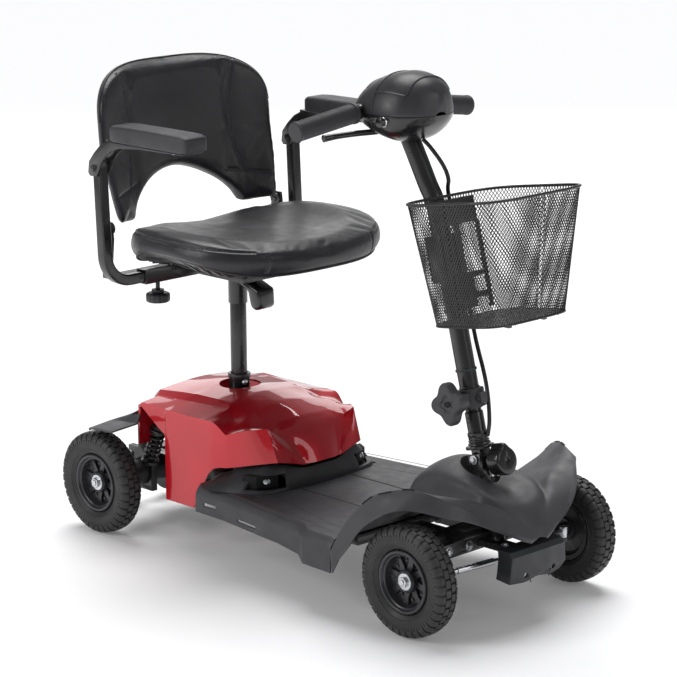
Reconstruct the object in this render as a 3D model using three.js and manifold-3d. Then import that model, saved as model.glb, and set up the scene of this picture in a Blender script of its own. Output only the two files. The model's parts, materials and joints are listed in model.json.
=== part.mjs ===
// A four-wheeled mobility scooter in millimetres: +X forward, +Y to the rider's left, +Z up.
// The origin is on the ground, midway between the two axles.
import * as THREE from 'three';
import { mergeVertices } from 'three/addons/utils/BufferGeometryUtils.js';
import Module from 'manifold-3d';

const wasm = await Module();
wasm.setup();

// ---------- driving dimensions ----------
const GAP = 0.3;            // clearance between touching pieces
const AXLE_X = 397;         // front axle ahead of the origin, rear axle as far behind it
const WHEEL_R = 95;
const RIM_R = 54;
const TYRE_W = 44;
const TYRE_BORE = RIM_R + 0.8;
const FRONT_WHEEL_Y = 197;
const REAR_WHEEL_Y = 191;
const KINGPIN_Y = 150;
const STEER_ARM = 30;
const LINK_Z = 104;         // height of the track rods
const RAIL_Z = [108, 130];
const DECK_Z = 137;
const SKIN = 3;             // thickness of the moulded covers
const YOKE = [375, 0, 257]; // tilt pivot of the tiller
const LEAN = THREE.MathUtils.degToRad(14.4);
const POST_X = -227;
const POST_R = 15;
const HEAD_SPLIT_Z = 822;
const ARM_Y = 232;
const ARM_PIVOT = [-325, 692];
const BACK_HINGE = [-340, 577];
const ANTITIP_X = -488.9;

// ---------- materials ----------
const paint = (color, roughness, metalness = 0) =>
  new THREE.MeshStandardMaterial({ color, roughness, metalness });
const STEEL = paint(0x1c1d1f, 0.45, 0.3);
const PLASTIC = paint(0x3d3e42, 0.8);
const DARK = paint(0x222326, 0.6);
const GLOSS = paint(0x141416, 0.2);
const RED = paint(0xa51220, 0.18, 0.2);
const LEATHER = paint(0x202226, 0.5);
const RUBBER = paint(0x1a1a1b, 0.85);
const SILVER = paint(0xc9ccd0, 0.3, 1);
const WIRE = paint(0x131314, 0.5, 0.4);

// ---------- shape helpers ----------
const V = (x, y, z) => new THREE.Vector3(x, y, z);

/** Keeps only positions, merges shared corners, drops empty triangles and turns faces outward. */
function closed(geometry) {
  const flat = geometry.index ? geometry.toNonIndexed() : geometry;
  const bare = new THREE.BufferGeometry();
  bare.setAttribute('position', flat.attributes.position.clone());
  const merged = mergeVertices(bare, 1e-3);
  const p = merged.attributes.position;
  const corner = [V(), V(), V()];
  const faces = [];
  let volume = 0;
  for (let i = 0; i < merged.index.count; i += 3) {
    const f = [0, 1, 2].map((k) => merged.index.getX(i + k));
    if (f[0] === f[1] || f[1] === f[2] || f[2] === f[0]) continue;
    f.forEach((index, k) => corner[k].fromBufferAttribute(p, index));
    volume += corner[0].dot(corner[1].clone().cross(corner[2]));
    faces.push(f);
  }
  if (volume < 0) faces.forEach((f) => f.reverse());
  merged.setIndex(faces.flat());
  return merged;
}

function toSolid(geometry) {
  const g = closed(geometry);
  return new wasm.Manifold(new wasm.Mesh({
    numProp: 3,
    vertProperties: new Float32Array(g.attributes.position.array),
    triVerts: new Uint32Array(g.index.array),
  }));
}

function fromSolid(manifold) {
  const mesh = manifold.getMesh();
  const g = new THREE.BufferGeometry();
  g.setAttribute('position', new THREE.BufferAttribute(mesh.vertProperties, 3));
  g.setIndex(new THREE.BufferAttribute(mesh.triVerts, 1));
  return g;
}

const join = (...parts) => fromSolid(parts.map(toSolid).reduce((a, b) => a.add(b)));
const cut = (body, ...tools) =>
  fromSolid(tools.map(toSolid).reduce((a, b) => a.subtract(b), toSolid(body)));

function box(x0, x1, y0, y1, z0, z1) {
  return new THREE.BoxGeometry(x1 - x0, y1 - y0, z1 - z0)
    .translate((x0 + x1) / 2, (y0 + y1) / 2, (z0 + z1) / 2);
}

/** A round bar, or a cone, between two points. */
function rod(from, to, radius, sides = 12, endRadius = radius) {
  const a = V(...from);
  const b = V(...to);
  const along = b.clone().sub(a);
  const g = new THREE.CylinderGeometry(endRadius, radius, along.length(), sides);
  g.applyQuaternion(new THREE.Quaternion().setFromUnitVectors(V(0, 1, 0), along.normalize()));
  return g.translate(...a.add(b).multiplyScalar(0.5).toArray());
}

/** A ring section [radius, height] turned about the Y axis. */
const turnedY = (profile, sides = 28) =>
  new THREE.LatheGeometry(profile.map(([r, h]) => new THREE.Vector2(r, h)), sides)
    .rotateY(Math.PI / sides);

/** The same, about the Z axis. */
const turnedZ = (profile, sides = 16) => turnedY(profile, sides).rotateX(Math.PI / 2);

/** A bar of the given section swept along points, which a smooth curve passes through. */
function sweep(points, section, steps) {
  const curve = new THREE.CatmullRomCurve3(points.map((p) => V(...p)), false, 'centripetal');
  return new THREE.ExtrudeGeometry(section, { steps, bevelEnabled: false, extrudePath: curve });
}

function roundSection(radius, sides = 10) {
  const turn = (i) => (2 * Math.PI * i) / sides;
  return new THREE.Shape(Array.from({ length: sides }, (_, i) =>
    new THREE.Vector2(radius * Math.cos(turn(i)), radius * Math.sin(turn(i)))));
}

function squareSection(size) {
  const h = size / 2;
  return new THREE.Shape([[-h, -h], [h, -h], [h, h], [-h, h]].map(([x, y]) => new THREE.Vector2(x, y)));
}

/** An outline of [x, z] points given thickness along Y. */
function slabY(outline, y0, y1) {
  const shape = new THREE.Shape(outline.map(([x, z]) => new THREE.Vector2(x, z)));
  const g = new THREE.ExtrudeGeometry(shape, { depth: y1 - y0, bevelEnabled: false });
  return g.rotateX(Math.PI / 2).translate(0, y1, 0);
}

/** An outline of [x, y] points given thickness along Z. */
function slabZ(outline, z0, z1) {
  const shape = new THREE.Shape(outline.map(([x, y]) => new THREE.Vector2(x, y)));
  return new THREE.ExtrudeGeometry(shape, { depth: z1 - z0, bevelEnabled: false }).translate(0, 0, z0);
}

/** Joins closed loops of points, one after another, into a solid with end caps. */
function loft(rings) {
  const n = rings[0].length;
  const middle = (ring) => ring.reduce((sum, p) => sum.add(p), V(0, 0, 0)).divideScalar(n);
  const points = [...rings.flat(), middle(rings[0]), middle(rings.at(-1))];
  const last = (rings.length - 1) * n;
  const faces = [];
  for (let j = 0; j < n; j++) {
    const k = (j + 1) % n;
    for (let i = 0; i < last; i += n) faces.push(i + j, i + n + j, i + n + k, i + j, i + n + k, i + k);
    faces.push(points.length - 2, j, k, points.length - 1, last + k, last + j);
  }
  return new THREE.BufferGeometry().setFromPoints(points).setIndex(faces);
}

/**
 * A grid of surface points given thickness along its normals.
 * Seen from the side that a positive thickness grows to, columns run right and rows run up.
 */
function sheet(rows, thickness) {
  const m = rows.length;
  const n = rows[0].length;
  const at = (i, j) => rows[Math.min(Math.max(i, 0), m - 1)][Math.min(Math.max(j, 0), n - 1)];
  return shellBetween(rows, rows.map((row, i) => row.map((p, j) => {
    const across = at(i, j + 1).clone().sub(at(i, j - 1));
    const along = at(i + 1, j).clone().sub(at(i - 1, j));
    return p.clone().addScaledVector(across.cross(along).normalize(), thickness);
  })));
}

/** The solid between two grids of points of the same size. */
function shellBetween(front, back) {
  const m = front.length;
  const n = front[0].length;
  const points = [...front.flat(), ...back.flat()];
  const behind = m * n;
  const faces = [];
  const quad = (a, b, c, d) => faces.push(a, b, c, a, c, d);
  for (let i = 0; i < m - 1; i++) {
    for (let j = 0; j < n - 1; j++) {
      const a = i * n + j;
      quad(a, a + 1, a + n + 1, a + n);
      quad(behind + a, behind + a + n, behind + a + n + 1, behind + a + 1);
    }
    const first = i * n;
    const last = first + n - 1;
    quad(first, first + n, behind + first + n, behind + first);
    quad(last + n, last, behind + last, behind + last + n);
  }
  for (let j = 0; j < n - 1; j++) {
    const end = (m - 1) * n + j;
    quad(j + 1, j, behind + j, behind + j + 1);
    quad(end, end + 1, behind + end + 1, behind + end);
  }
  return new THREE.BufferGeometry().setFromPoints(points).setIndex(faces);
}

/** Rows of [x, y, z] points from the left edge to the middle line, mirrored to the right. */
const bothSides = (rows) => rows.map((row) => [
  ...row.map(([x, y, z]) => V(x, y, z)),
  ...row.filter(([, y]) => y > 0).reverse().map(([x, y, z]) => V(x, -y, z)),
]);

const mirrored = (geometry) => closed(geometry.clone().scale(1, -1, 1));

function add(group, name, geometry, material) {
  const mesh = new THREE.Mesh(closed(geometry), material);
  mesh.name = name;
  group.add(mesh);
  return mesh;
}

const scooter = new THREE.Group();
const SIDES = [['right', -1], ['left', 1]];

// ---------- wheels ----------
function tyre() {
  const side = TYRE_W / 2;
  const top = WHEEL_R / Math.cos(Math.PI / 28);
  return turnedY([
    [TYRE_BORE, -16], [72, -side], [top - 8, -side], [top, -13],
    [top, 13], [top - 8, side], [72, side], [TYRE_BORE, 16], [TYRE_BORE, -16],
  ]);
}

function rim(bore) {
  return turnedY([
    [bore, -12], [16, -12], [18, -2], [40, -2], [46, -17], [RIM_R, -17], [RIM_R, 17], [46, 17],
    [40, 4], [20, 4], [18, 10], [bore, 10], [bore, -12],
  ], 20);
}

const hexNut = (y0, y1) => rod([0, y0, 0], [0, y1, 0], 13, 6);

for (const [side, sign] of SIDES) {
  for (const [end, x, y] of [['front', AXLE_X, FRONT_WHEEL_Y], ['rear', -AXLE_X, REAR_WHEEL_Y]]) {
    const wheel = new THREE.Group();
    wheel.position.set(x, sign * y, WHEEL_R);
    scooter.add(wheel);
    add(wheel, `tyre_${end}_${side}`, tyre(), RUBBER);
    const disc = end === 'front' ? rim(9) : join(rim(10.3), hexNut(9.5, 15),
      rod([0, -90, 0], [0, 12, 0], 11));
    add(wheel, `rim_${end}_${side}`, sign > 0 ? disc : mirrored(disc), DARK);
  }
}

// ---------- steering knuckles and track rods ----------
function knuckle() {
  const top = 158;
  return join(
    rod([AXLE_X, KINGPIN_Y, 88], [AXLE_X, KINGPIN_Y, top], 9),
    rod([AXLE_X, KINGPIN_Y, 88], [AXLE_X, KINGPIN_Y, 112], 15),
    rod([AXLE_X, KINGPIN_Y, WHEEL_R], [AXLE_X, FRONT_WHEEL_Y + 14, WHEEL_R], 8.4),
    rod([AXLE_X, KINGPIN_Y + 12, WHEEL_R], [AXLE_X, FRONT_WHEEL_Y - 13, WHEEL_R], 12),
    rod([AXLE_X, FRONT_WHEEL_Y + 11, WHEEL_R], [AXLE_X, FRONT_WHEEL_Y + 17, WHEEL_R], 13, 6),
    rod([AXLE_X, KINGPIN_Y, top - 4], [AXLE_X, KINGPIN_Y, top + 4], 13, 6),
    box(AXLE_X, AXLE_X + STEER_ARM + 9, KINGPIN_Y - 9, KINGPIN_Y + 9, 88, LINK_Z - 8),
  );
}

/** The centre of the pitman arm's pin, level with the knuckle arms' pins. */
const PITMAN_X = YOKE[0] + (YOKE[2] - LINK_Z) * Math.tan(LEAN) + STEER_ARM;

const EYE_R = 7.4;          // wide enough for the pin's play between the two rods

function trackRod(z) {
  const pin = V(AXLE_X + STEER_ARM, KINGPIN_Y, z);
  const eye = V(PITMAN_X, 0, z);
  const at = (share) => pin.clone().lerp(eye, share).toArray();
  const body = join(
    rod([pin.x, pin.y, LINK_Z - 8 + GAP], [pin.x, pin.y, z + 6], 8, 12),
    rod([PITMAN_X, 0, z - 4], [PITMAN_X, 0, z + 4], EYE_R + 3.6, 16),
    rod(at(0), at(0.95), 4, 10),
    rod(at(0.2), at(0.72), 6, 10),
  );
  return cut(body, rod([PITMAN_X, 0, z - 5], [PITMAN_X, 0, z + 5], EYE_R, 16));
}

const knuckleShape = knuckle();
for (const [side, sign] of SIDES) {
  const facing = (g) => (sign > 0 ? g : mirrored(g));
  add(scooter, `knuckle_${side}`, facing(knuckleShape), STEEL);
  add(scooter, `track_rod_${side}`, facing(trackRod(sign > 0 ? LINK_Z + 5 : LINK_Z - 3.4)), SILVER);
}

// ---------- frame ----------
const column = (s, x = 0, y = 0) => [
  YOKE[0] + x * Math.cos(LEAN) - s * Math.sin(LEAN), y, YOKE[2] + s * Math.cos(LEAN) + x * Math.sin(LEAN)];

function frontFrame() {
  const rails = [-1, 1].map((s) => box(-150, AXLE_X - 12, 40 * s - 11, 40 * s + 11, ...RAIL_Z));
  const beam = box(AXLE_X - 14, AXLE_X + 14, -KINGPIN_Y + 4, KINGPIN_Y - 4, 116, 140);
  const ends = [-1, 1].map((s) =>
    rod([AXLE_X, s * KINGPIN_Y, 112 + GAP], [AXLE_X, s * KINGPIN_Y, 154 - GAP], 15));
  const bars = [-120, 0, 120, 236].map((x) => box(x - 10, x + 10, -165, 165, 112, 130));
  const shortBar = box(320, 340, -95, 95, 112, 130);
  const horns = [-1, 1].map((s) => box(AXLE_X, 470, 42 * s - 8, 42 * s + 8, 124, 134));
  return cut(
    join(...rails, beam, ...ends, ...bars, shortBar, ...horns, rod(column(-132), column(-58), 23, 20)),
    rod(column(-200), column(0), 17.6, 20),
    ...[-1, 1].map((s) => rod([AXLE_X, s * KINGPIN_Y, 90], [AXLE_X, s * KINGPIN_Y, 180], 9.5)),
  );
}
add(scooter, 'frame_front', frontFrame(), STEEL);

function rearFrame() {
  const rails = [-1, 1].map((s) => box(-420, -150 - GAP, 62 * s - 11, 62 * s + 11, ...RAIL_Z));
  const bars = [-160.3, -330, -410].map((x) => box(x - 10, x + 10, -72, 72, 112, 130));
  const plate = box(-260, -190, -72, 72, RAIL_Z[1], 136);
  const hangers = [-1, 1].map((s) => join(
    box(-AXLE_X - 33, -AXLE_X + 33, 92 * s - 6, 92 * s + 6, 62, 140),
    box(-AXLE_X - 5, -AXLE_X + 25, 92 * s - 6, 92 * s + 6, 130, 196)));
  const hangerBars = [-1, 1].map((s) => box(-AXLE_X - 10, -AXLE_X + 10, s > 0 ? 72 : -98, s > 0 ? 98 : -72,
    112, 130));
  const tail = [-1, 1].map((s) => slabY([[-420, 130], [-420, 112], [-447, 112], [-479, 32], [-498, 32],
    [-498, 48], [-455, 130]],
    30 * s - 4, 30 * s + 4));
  const tailPin = rod([ANTITIP_X, -66, 40], [ANTITIP_X, 66, 40], 5, 12);
  const tailBar = box(-430, -415, -72, 72, 112, 130);
  return cut(
    join(...rails, ...bars, plate, ...hangers, ...hangerBars, ...tail, tailPin, tailBar),
    rod([-AXLE_X, -120, WHEEL_R], [-AXLE_X, 120, WHEEL_R], 24 + GAP, 24),
  );
}
add(scooter, 'frame_rear', rearFrame(), STEEL);

for (const [side, sign] of SIDES) {
  add(scooter, `antitip_wheel_${side}`, turnedY([[5.5, -9], [17, -9], [22.1, -5], [22.1, 5], [17, 9],
    [5.5, 9], [5.5, -9]], 20)
    .translate(ANTITIP_X, sign * 48, 40), RUBBER);
}

// ---------- drive unit ----------
function transaxle() {
  const tubes = rod([-AXLE_X, -148, WHEEL_R], [-AXLE_X, 148, WHEEL_R], 24, 24);
  const bulge = rod([-AXLE_X, -42, WHEEL_R], [-AXLE_X, 48, WHEEL_R], 46, 24);
  const nose = box(-372, -346, -38, 38, 62, 104);
  return cut(join(tubes, bulge, nose), box(-500, -300, -80, 80, 108 - GAP, 160),
    rod([-AXLE_X, -160, WHEEL_R], [-AXLE_X, -90, WHEEL_R], 11.6), rod([-AXLE_X, 90, WHEEL_R],
      [-AXLE_X, 160, WHEEL_R], 11.6));
}
add(scooter, 'transaxle_housing', transaxle(), DARK);
add(scooter, 'drive_motor', join(
  rod([-346 + GAP, 0, 76], [-222, 0, 76], 33, 24),
  rod([-222, 0, 76], [-204, 0, 76], 26, 24),
), STEEL);
add(scooter, 'freewheel_lever', join(
  rod([-204 + GAP, 0, 76], [-196, 0, 76], 11, 16),
  box(-203, -197, 0, 102, 70, 82),
  rod([-200, 100, 76], [-200, 128, 76], 8, 12),
), paint(0xc8a018, 0.5));

// ---------- floor deck ----------
const DECK_FRONT = 246;
function deckShell() {
  const edges = [[-150, 179, 88], [-80, 180, 88], [88, 201, 88], [145, 208, 84], [178, 229, 80],
    [DECK_FRONT, 230, 79]];
  const rows = edges.map(([x, w, low]) => [
    [x, w, low], [x, w - 1, 121], [x, w - 13, DECK_Z - 1], [x, 120, DECK_Z], [x, 0, DECK_Z]]);
  return sheet(bothSides(rows), -SKIN);
}
add(scooter, 'floor_deck', deckShell(), PLASTIC);

// ---------- front cowl ----------
/** Each row runs from the arch edge over the fender's ridge and the valley up to the hump's middle line. */
const COWL_ROWS = [
  [[268, 230, 80], [DECK_FRONT + GAP, 230, 116], [DECK_FRONT + GAP, 205, DECK_Z],
    [DECK_FRONT + GAP, 85, DECK_Z],
    [DECK_FRONT + GAP, 60, DECK_Z], [DECK_FRONT + GAP, 0, DECK_Z]],
  [[276, 230, 104], [268, 229, 156], [272, 195, 153], [262, 85, 152], [258, 60, 178], [257, 0, 186]],
  [[290, 230, 136], [294, 227, 190], [296, 188, 179], [288, 84, 166], [276, 58, 212], [272, 0, 224]],
  [[316, 230, 169], [334, 222, 228], [330, 176, 207], [322, 82, 184], [306, 58, 228], [304, 0, 246]],
  [[358, 229, 201], [367, 214, 243], [364, 165, 219], [358, 80, 194], [345, 58, 233], [340, 0, 252]],
  [[390, 220, 217], [402, 200, 252], [400, 150, 226], [392, 78, 199], [385, 58, 231], [380, 0, 236]],
  [[414, 195, 214], [430, 176, 257], [424, 128, 230], [418, 75, 203], [415, 58, 228], [412, 0, 221]],
  [[447, 158, 201], [454, 148, 246], [442, 104, 226], [436, 72, 208], [440, 56, 224], [438, 0, 213]],
  [[463, 126, 191], [480, 118, 233], [464, 84, 219], [455, 64, 211], [458, 50, 216], [460, 0, 208]],
  [[479, 92, 175], [495, 92, 218], [482, 66, 209], [474, 50, 205], [474, 38, 205], [476, 0, 203]],
  [[491, 62, 160], [503, 62, 192], [496, 44, 190], [490, 32, 188], [488, 22, 187], [488, 0, 186]],
  [[501, 36, 147], [507, 34, 160], [504, 24, 162], [501, 16, 163], [500, 8, 164], [500, 0, 164]],
  [[505, 20, 141], [508, 14, 145], [507, 10, 146], [506.5, 7, 147], [506, 3, 148], [506, 0, 148]],
];
add(scooter, 'front_cowl', cut(sheet(bothSides(COWL_ROWS), -SKIN),
  rod([386, 0, 180], [355, 0, 300], 31, 20)), PLASTIC);

// ---------- front bumper ----------
add(scooter, 'front_bumper', cut(
  sheet(bothSides([
    [[471, 64, 134], [471, 30, 135], [471, 0, 135]],
    [[496, 64, 132], [500, 30, 133.5], [501, 0, 134]],
    [[503, 64, 122], [507, 30, 124], [507.5, 0, 124]],
    [[503, 62, 92], [507, 30, 90], [507.5, 0, 90]],
    [[498, 50, 75], [502, 28, 74], [502, 0, 80]],
  ]), -4),
  rod([490, 34, 90], [520, 34, 90], 4, 10),
  rod([490, -34, 90], [520, -34, 90], 4, 10),
), PLASTIC);

// ---------- rear fender ----------
function rearFender() {
  const rows = [
    [[-335, 215, 206], [-330, 160, 212], [-330, 142, 238], [-330, 100, 244], [-330, 0, 244]],
    [[-366, 215, 205], [-366, 160, 209], [-350, 142, 228], [-350, 100, 236], [-350, 0, 236]],
    [[-402, 213, 200], [-402, 160, 205], [-380, 142, 214], [-372, 100, 214], [-372, 0, 214]],
    [[-406, 211, 196], [-406, 160, 201], [-398, 142, 207], [-392, 100, 207], [-392, 0, 207]],
  ];
  return sheet(bothSides(rows), SKIN);
}

// ---------- red rear shroud ----------
const SHROUD_ROWS = [
  [[-336, 150, 170], [-340, 112, 170], [-342, 70, 170], [-342, 0, 170]],
  [[-336, 150, 238], [-346, 104, 254], [-347, 70, 256], [-347, 0, 256]],
  [[-326, 151, 243], [-328, 112, 262], [-330, 70, 264], [-330, 0, 264]],
  [[-285, 151, 215], [-288, 122, 262], [-288, 74, 267], [-288, 0, 268]],
  [[-261, 152, 202], [-261, 126, 259], [-261, 76, 268], [-261, 0, 270]],
  [[-259, 154, 82], [-259, 126, 259], [-259, 76, 268], [-259, 0, 270]],
  [[-183, 154, 82], [-183, 128, 252], [-183, 75, 268], [-183, 0, 271]],
  [[-164, 152, 123], [-160, 126, 249], [-158, 71, 267], [-158, 0, 270]],
  [[-136, 150, 162], [-128, 128, 247], [-126, 65, 263], [-126, 0, 267]],
  [[-96, 143, 172], [-86, 124, 241], [-88, 58, 253], [-90, 0, 258]],
  [[-62, 131, 182], [-50, 119, 229], [-52, 50, 234], [-56, 0, 241]],
  [[-38, 119, 189], [-28, 111, 212], [-24, 43, 206], [-26, 0, 212]],
  [[-28, 107, 193], [-20, 92, 188], [-6, 38, 174], [-1, 0, 176]],
];
const postHole = rod([POST_X + 2, 0, 230], [POST_X + 2, 0, 300], 38.5, 32);
const shroud = sheet(bothSides(SHROUD_ROWS), -SKIN);
add(scooter, 'rear_shroud', cut(shroud, postHole), RED);
const fenderCutter = box(-352, -300, -151.5, 151.5, 160, 300);
add(scooter, 'rear_fender_right', cut(rearFender(), fenderCutter, box(-420, -300, -120, 300, 150, 300)),
  PLASTIC);
add(scooter, 'rear_fender_left', cut(rearFender(), fenderCutter, box(-420, -300, -300, 120, 150, 300)),
  PLASTIC);

// ---------- dark battery case under the shroud ----------
const CASE_FOOT = [[-149, 189], [-113, 189], [-78, 172], [-42, 153], [-12, 125], [-3, 60], [0, 0]]
  .map(([x, y]) => [x, y, DECK_Z + GAP]);
const CASE_BROW = [[-148, 141, 139], [-124, 140, 156], [-90, 131, 168], [-61, 117, 177], [-34, 99, 184],
  [-13, 48, 170],
  [-10, 0, 169]];
function batteryCase() {
  const ring = (points, share, lift) => {
    const half = points.map(([x, y, z]) => V(-110 + (x + 110) * share, y * share, z + lift));
    return [...half, ...half.slice(0, -1).reverse().map((p) => V(p.x, -p.y, p.z))];
  };
  return cut(
    loft([ring(CASE_FOOT, 1, 0), ring(CASE_BROW, 1, 0)]),
    loft([ring(CASE_FOOT, 0.965, -1), ring(CASE_BROW, 0.93, 8)]),
  );
}
add(scooter, 'battery_case', batteryCase(), DARK);
add(scooter, 'battery_pack', join(box(-142, -62, -96, 96, DECK_Z + GAP, 205),
  box(-142, -100, -90, 90, 204, 225)), DARK);

// ---------- seat post ----------
add(scooter, 'seat_post_receiver', join(
  turnedZ([[POST_R + 0.6, 136 + GAP], [19, 136 + GAP], [19, 292], [20.5, 292], [20.5, 297],
    [POST_R + 0.6, 297], [POST_R + 0.6, 136 + GAP]])
    .translate(POST_X, 0, 0),
  box(POST_X - 32, POST_X - 17, -30, 30, 136 + GAP, 146),
  box(POST_X + 17, POST_X + 32, -30, 30, 136 + GAP, 146),
  rod([POST_X + 18, 0, 285], [POST_X + 27, 0, 285], 5, 6),
), STEEL);
add(scooter, 'seat_post', turnedZ([[0, 145], [POST_R, 145], [POST_R, 470], [0, 470]]).translate(POST_X, 0,
  0), STEEL);

// ---------- seat frame: swivel sleeve, base plate, armrest receiver and backrest ears ----------
const SLEEVE_R = 17.6;
const EAR_Y = 203;
const ARM_TUBE = 20;
const ARM_X = -318;
const ARM_Z = 485;
function seatFrame() {
  const sleeve = turnedZ([
    [POST_R + GAP, 428], [SLEEVE_R, 428], [SLEEVE_R, 486], [0, 486], [0, 470 + GAP], [POST_R + GAP,
      470 + GAP],
    [POST_R + GAP, 428],
  ]).translate(POST_X, 0, 0);
  const ears = SIDES.map(([, s]) => slabY(
    [[-356, 486], [-334, 486], [-326, 560], [-330, 590], [-350, 590], [-356, 565]],
    s > 0 ? EAR_Y : -EAR_Y - 5, s > 0 ? EAR_Y + 5 : -EAR_Y));
  const pins = SIDES.map(([, s]) => rod([BACK_HINGE[0], s * 196, BACK_HINGE[1]],
    [BACK_HINGE[0], s * 212, BACK_HINGE[1]], 5, 12));
  const outer = ARM_TUBE / 2 + 3;
  const inner = ARM_TUBE / 2 + GAP;
  return cut(
    join(
      sleeve,
      box(-300, -150, -55, 55, 482, 492),
      box(-352, -230, -24, 24, 480, 492),
      box(-352, -338, -EAR_Y - 5, EAR_Y + 5, 486, 492),
      box(ARM_X - outer, ARM_X + outer, -150, 150, ARM_Z - outer, ARM_Z + outer),
      ...ears, ...pins,
    ),
    box(ARM_X - inner, ARM_X + inner, -160, 160, ARM_Z - inner, ARM_Z + inner),
  );
}
add(scooter, 'seat_frame', seatFrame(), STEEL);

add(scooter, 'swivel_lever', slabY(
  [[-207, 479], [-178, 474], [-150, 464], [-148, 432], [-160, 424], [-173, 430], [-180, 458],
    [-207, 468]], -20, 20), GLOSS);

// ---------- seat pan and cushions ----------
/** A rounded outline, wider towards the front, as one level of the seat. */
function seatRing(scale, height, count = 24) {
  const power = 2 / 2.6;
  return Array.from({ length: count }, (_, i) => {
    const t = (2 * Math.PI * i) / count;
    const u = Math.sign(Math.cos(t)) * Math.abs(Math.cos(t)) ** power;
    const v = Math.sign(Math.sin(t)) * Math.abs(Math.sin(t)) ** power;
    return V(-185 + 196 * scale * u, 218 * scale * v * (1 + 0.05 * u), height(Math.abs(Math.sin(t))));
  });
}
add(scooter, 'seat_pan', loft([
  seatRing(0.68, () => 498.6), seatRing(0.82, () => 506), seatRing(0.93, () => 520),
]), DARK);
add(scooter, 'seat_cushion', loft([
  seatRing(0.94, () => 520 + GAP), seatRing(0.99, () => 532), seatRing(1, () => 552),
  seatRing(0.95, (side) => 564 + 18 * side ** 1.5), seatRing(0.86, (side) => 569 + 18 * side ** 1.5),
  seatRing(0.55, (side) => 569 + 4 * side),
]), LEATHER);

const BACK_W = 203;
function backrest() {
  const columns = 12;
  const levels = 4;
  const faces = { front: [], back: [] };
  for (let i = 0; i <= levels; i++) {
    const front = [];
    const back = [];
    for (let j = 0; j <= columns; j++) {
      const f = (2 * j) / columns - 1;
      const arch = Math.abs(f) < 0.74 ? 75 * Math.sqrt(1 - (f / 0.74) ** 2) : 0;
      const low = 592 + arch;
      const high = 738 + 119 * (1 - Math.abs(f) ** 3.2) ** (1 / 3.2);
      const z = low + (high - low) * (i / levels);
      const y = f * (BACK_W - 14 + 14 * Math.sin(Math.min((z - 592) / 140, 1) * Math.PI / 2));
      const x = -385 + 48 * f * f - 0.07 * (z - 592);
      const thick = 4 + 42 * (1 - Math.abs(f) ** 2.5);
      front.push(V(x, y, z));
      back.push(V(x - thick, y, z));
    }
    faces.front.push(front);
    faces.back.push(back);
  }
  return shellBetween(faces.front, faces.back);
}
add(scooter, 'backrest_cushion', backrest(), LEATHER);

function backrestFrame() {
  const half = [[-343, 199.5, 574], [-350, 199, 590], [-378, 194, 606], [-412, 164, 640], [-440, 116, 676],
    [-453, 50, 694]];
  const bar = [...half, ...half.toReversed().map(([x, y, z]) => [x, -y, z])];
  return cut(
    join(
      sweep(bar, squareSection(7), 26),
      ...SIDES.map(([, s]) => rod([BACK_HINGE[0], s * 197.5, BACK_HINGE[1]],
        [BACK_HINGE[0], s * 202.5, BACK_HINGE[1]], 11, 16)),
    ),
    rod([BACK_HINGE[0], -220, BACK_HINGE[1]], [BACK_HINGE[0], 220, BACK_HINGE[1]], 5.4, 12),
  );
}
add(scooter, 'backrest_frame', backrestFrame(), STEEL);

// ---------- armrests ----------
function armTube() {
  const h = ARM_TUBE / 2;
  const bendR = 52;
  const bend = [-96, -90, -60, -30, 0, 6].map((deg) => {
    const a = THREE.MathUtils.degToRad(deg);
    return [ARM_X, ARM_Y - bendR + bendR * Math.cos(a), ARM_Z + bendR + bendR * Math.sin(a)];
  });
  bend[0] = [ARM_X, 172, ARM_Z];
  bend[5] = [ARM_X, ARM_Y, ARM_Z + bendR + 8];
  return join(
    box(ARM_X - h, ARM_X + h, 60, 176, ARM_Z - h, ARM_Z + h),
    sweep(bend, squareSection(ARM_TUBE), 14),
    slabY([[ARM_X - h, 537], [ARM_X + h, 537], [ARM_PIVOT[0] + h, 706], [ARM_PIVOT[0] - h, 706]],
      ARM_Y - h, ARM_Y + h),
    rod([ARM_PIVOT[0], ARM_Y - 17, ARM_PIVOT[1]], [ARM_PIVOT[0], ARM_Y + 17, ARM_PIVOT[1]], 5, 12),
  );
}

function armPad() {
  const plate = [[-339, 682], [-318, 680], [-304, 706], [-280, 728], [-250, 738], [-110, 742], [-110, 750],
    [-262, 750],
    [-300, 742], [-339, 704]];
  const pad = (x, w, low, high) => [[-w, low + 6], [-w + 8, low], [w - 8, low], [w, low + 6],
    [w, high - 8], [w - 9, high],
    [-w + 9, high], [-w, high - 8]].map(([y, z]) => V(x, ARM_Y + y, z));
  return cut(join(
    loft([pad(-267, 22, 750, 770), pad(-258, 26, 747, 777), pad(-80, 27, 746, 778),
      pad(-66, 22, 750, 770)]),
    slabY(plate, ARM_Y - 14.5, ARM_Y - 10.5),
    slabY(plate, ARM_Y + 10.5, ARM_Y + 14.5),
    box(-296, -110, ARM_Y - 12, ARM_Y + 12, 741, 748),
  ), rod([ARM_PIVOT[0], ARM_Y - 20, ARM_PIVOT[1]], [ARM_PIVOT[0], ARM_Y + 20, ARM_PIVOT[1]], 5.4, 12));
}

const armTubeShape = armTube();
const armPadShape = armPad();
for (const [side, sign] of SIDES) {
  const facing = (g) => (sign > 0 ? g : mirrored(g));
  add(scooter, `armrest_tube_${side}`, facing(armTubeShape), STEEL);
  add(scooter, `armrest_pad_${side}`, facing(armPadShape), DARK);
  add(scooter, `armrest_knob_${side}`, join(
    rod([ARM_X, sign * 112, 433], [ARM_X, sign * 112, 450], 22, 20),
    rod([ARM_X, sign * 112, 449], [ARM_X, sign * 112, 456], 12, 16),
    rod([ARM_X, sign * 112, 455], [ARM_X, sign * 112, ARM_Z - 13 - GAP], 4, 10),
  ), GLOSS);
}

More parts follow.
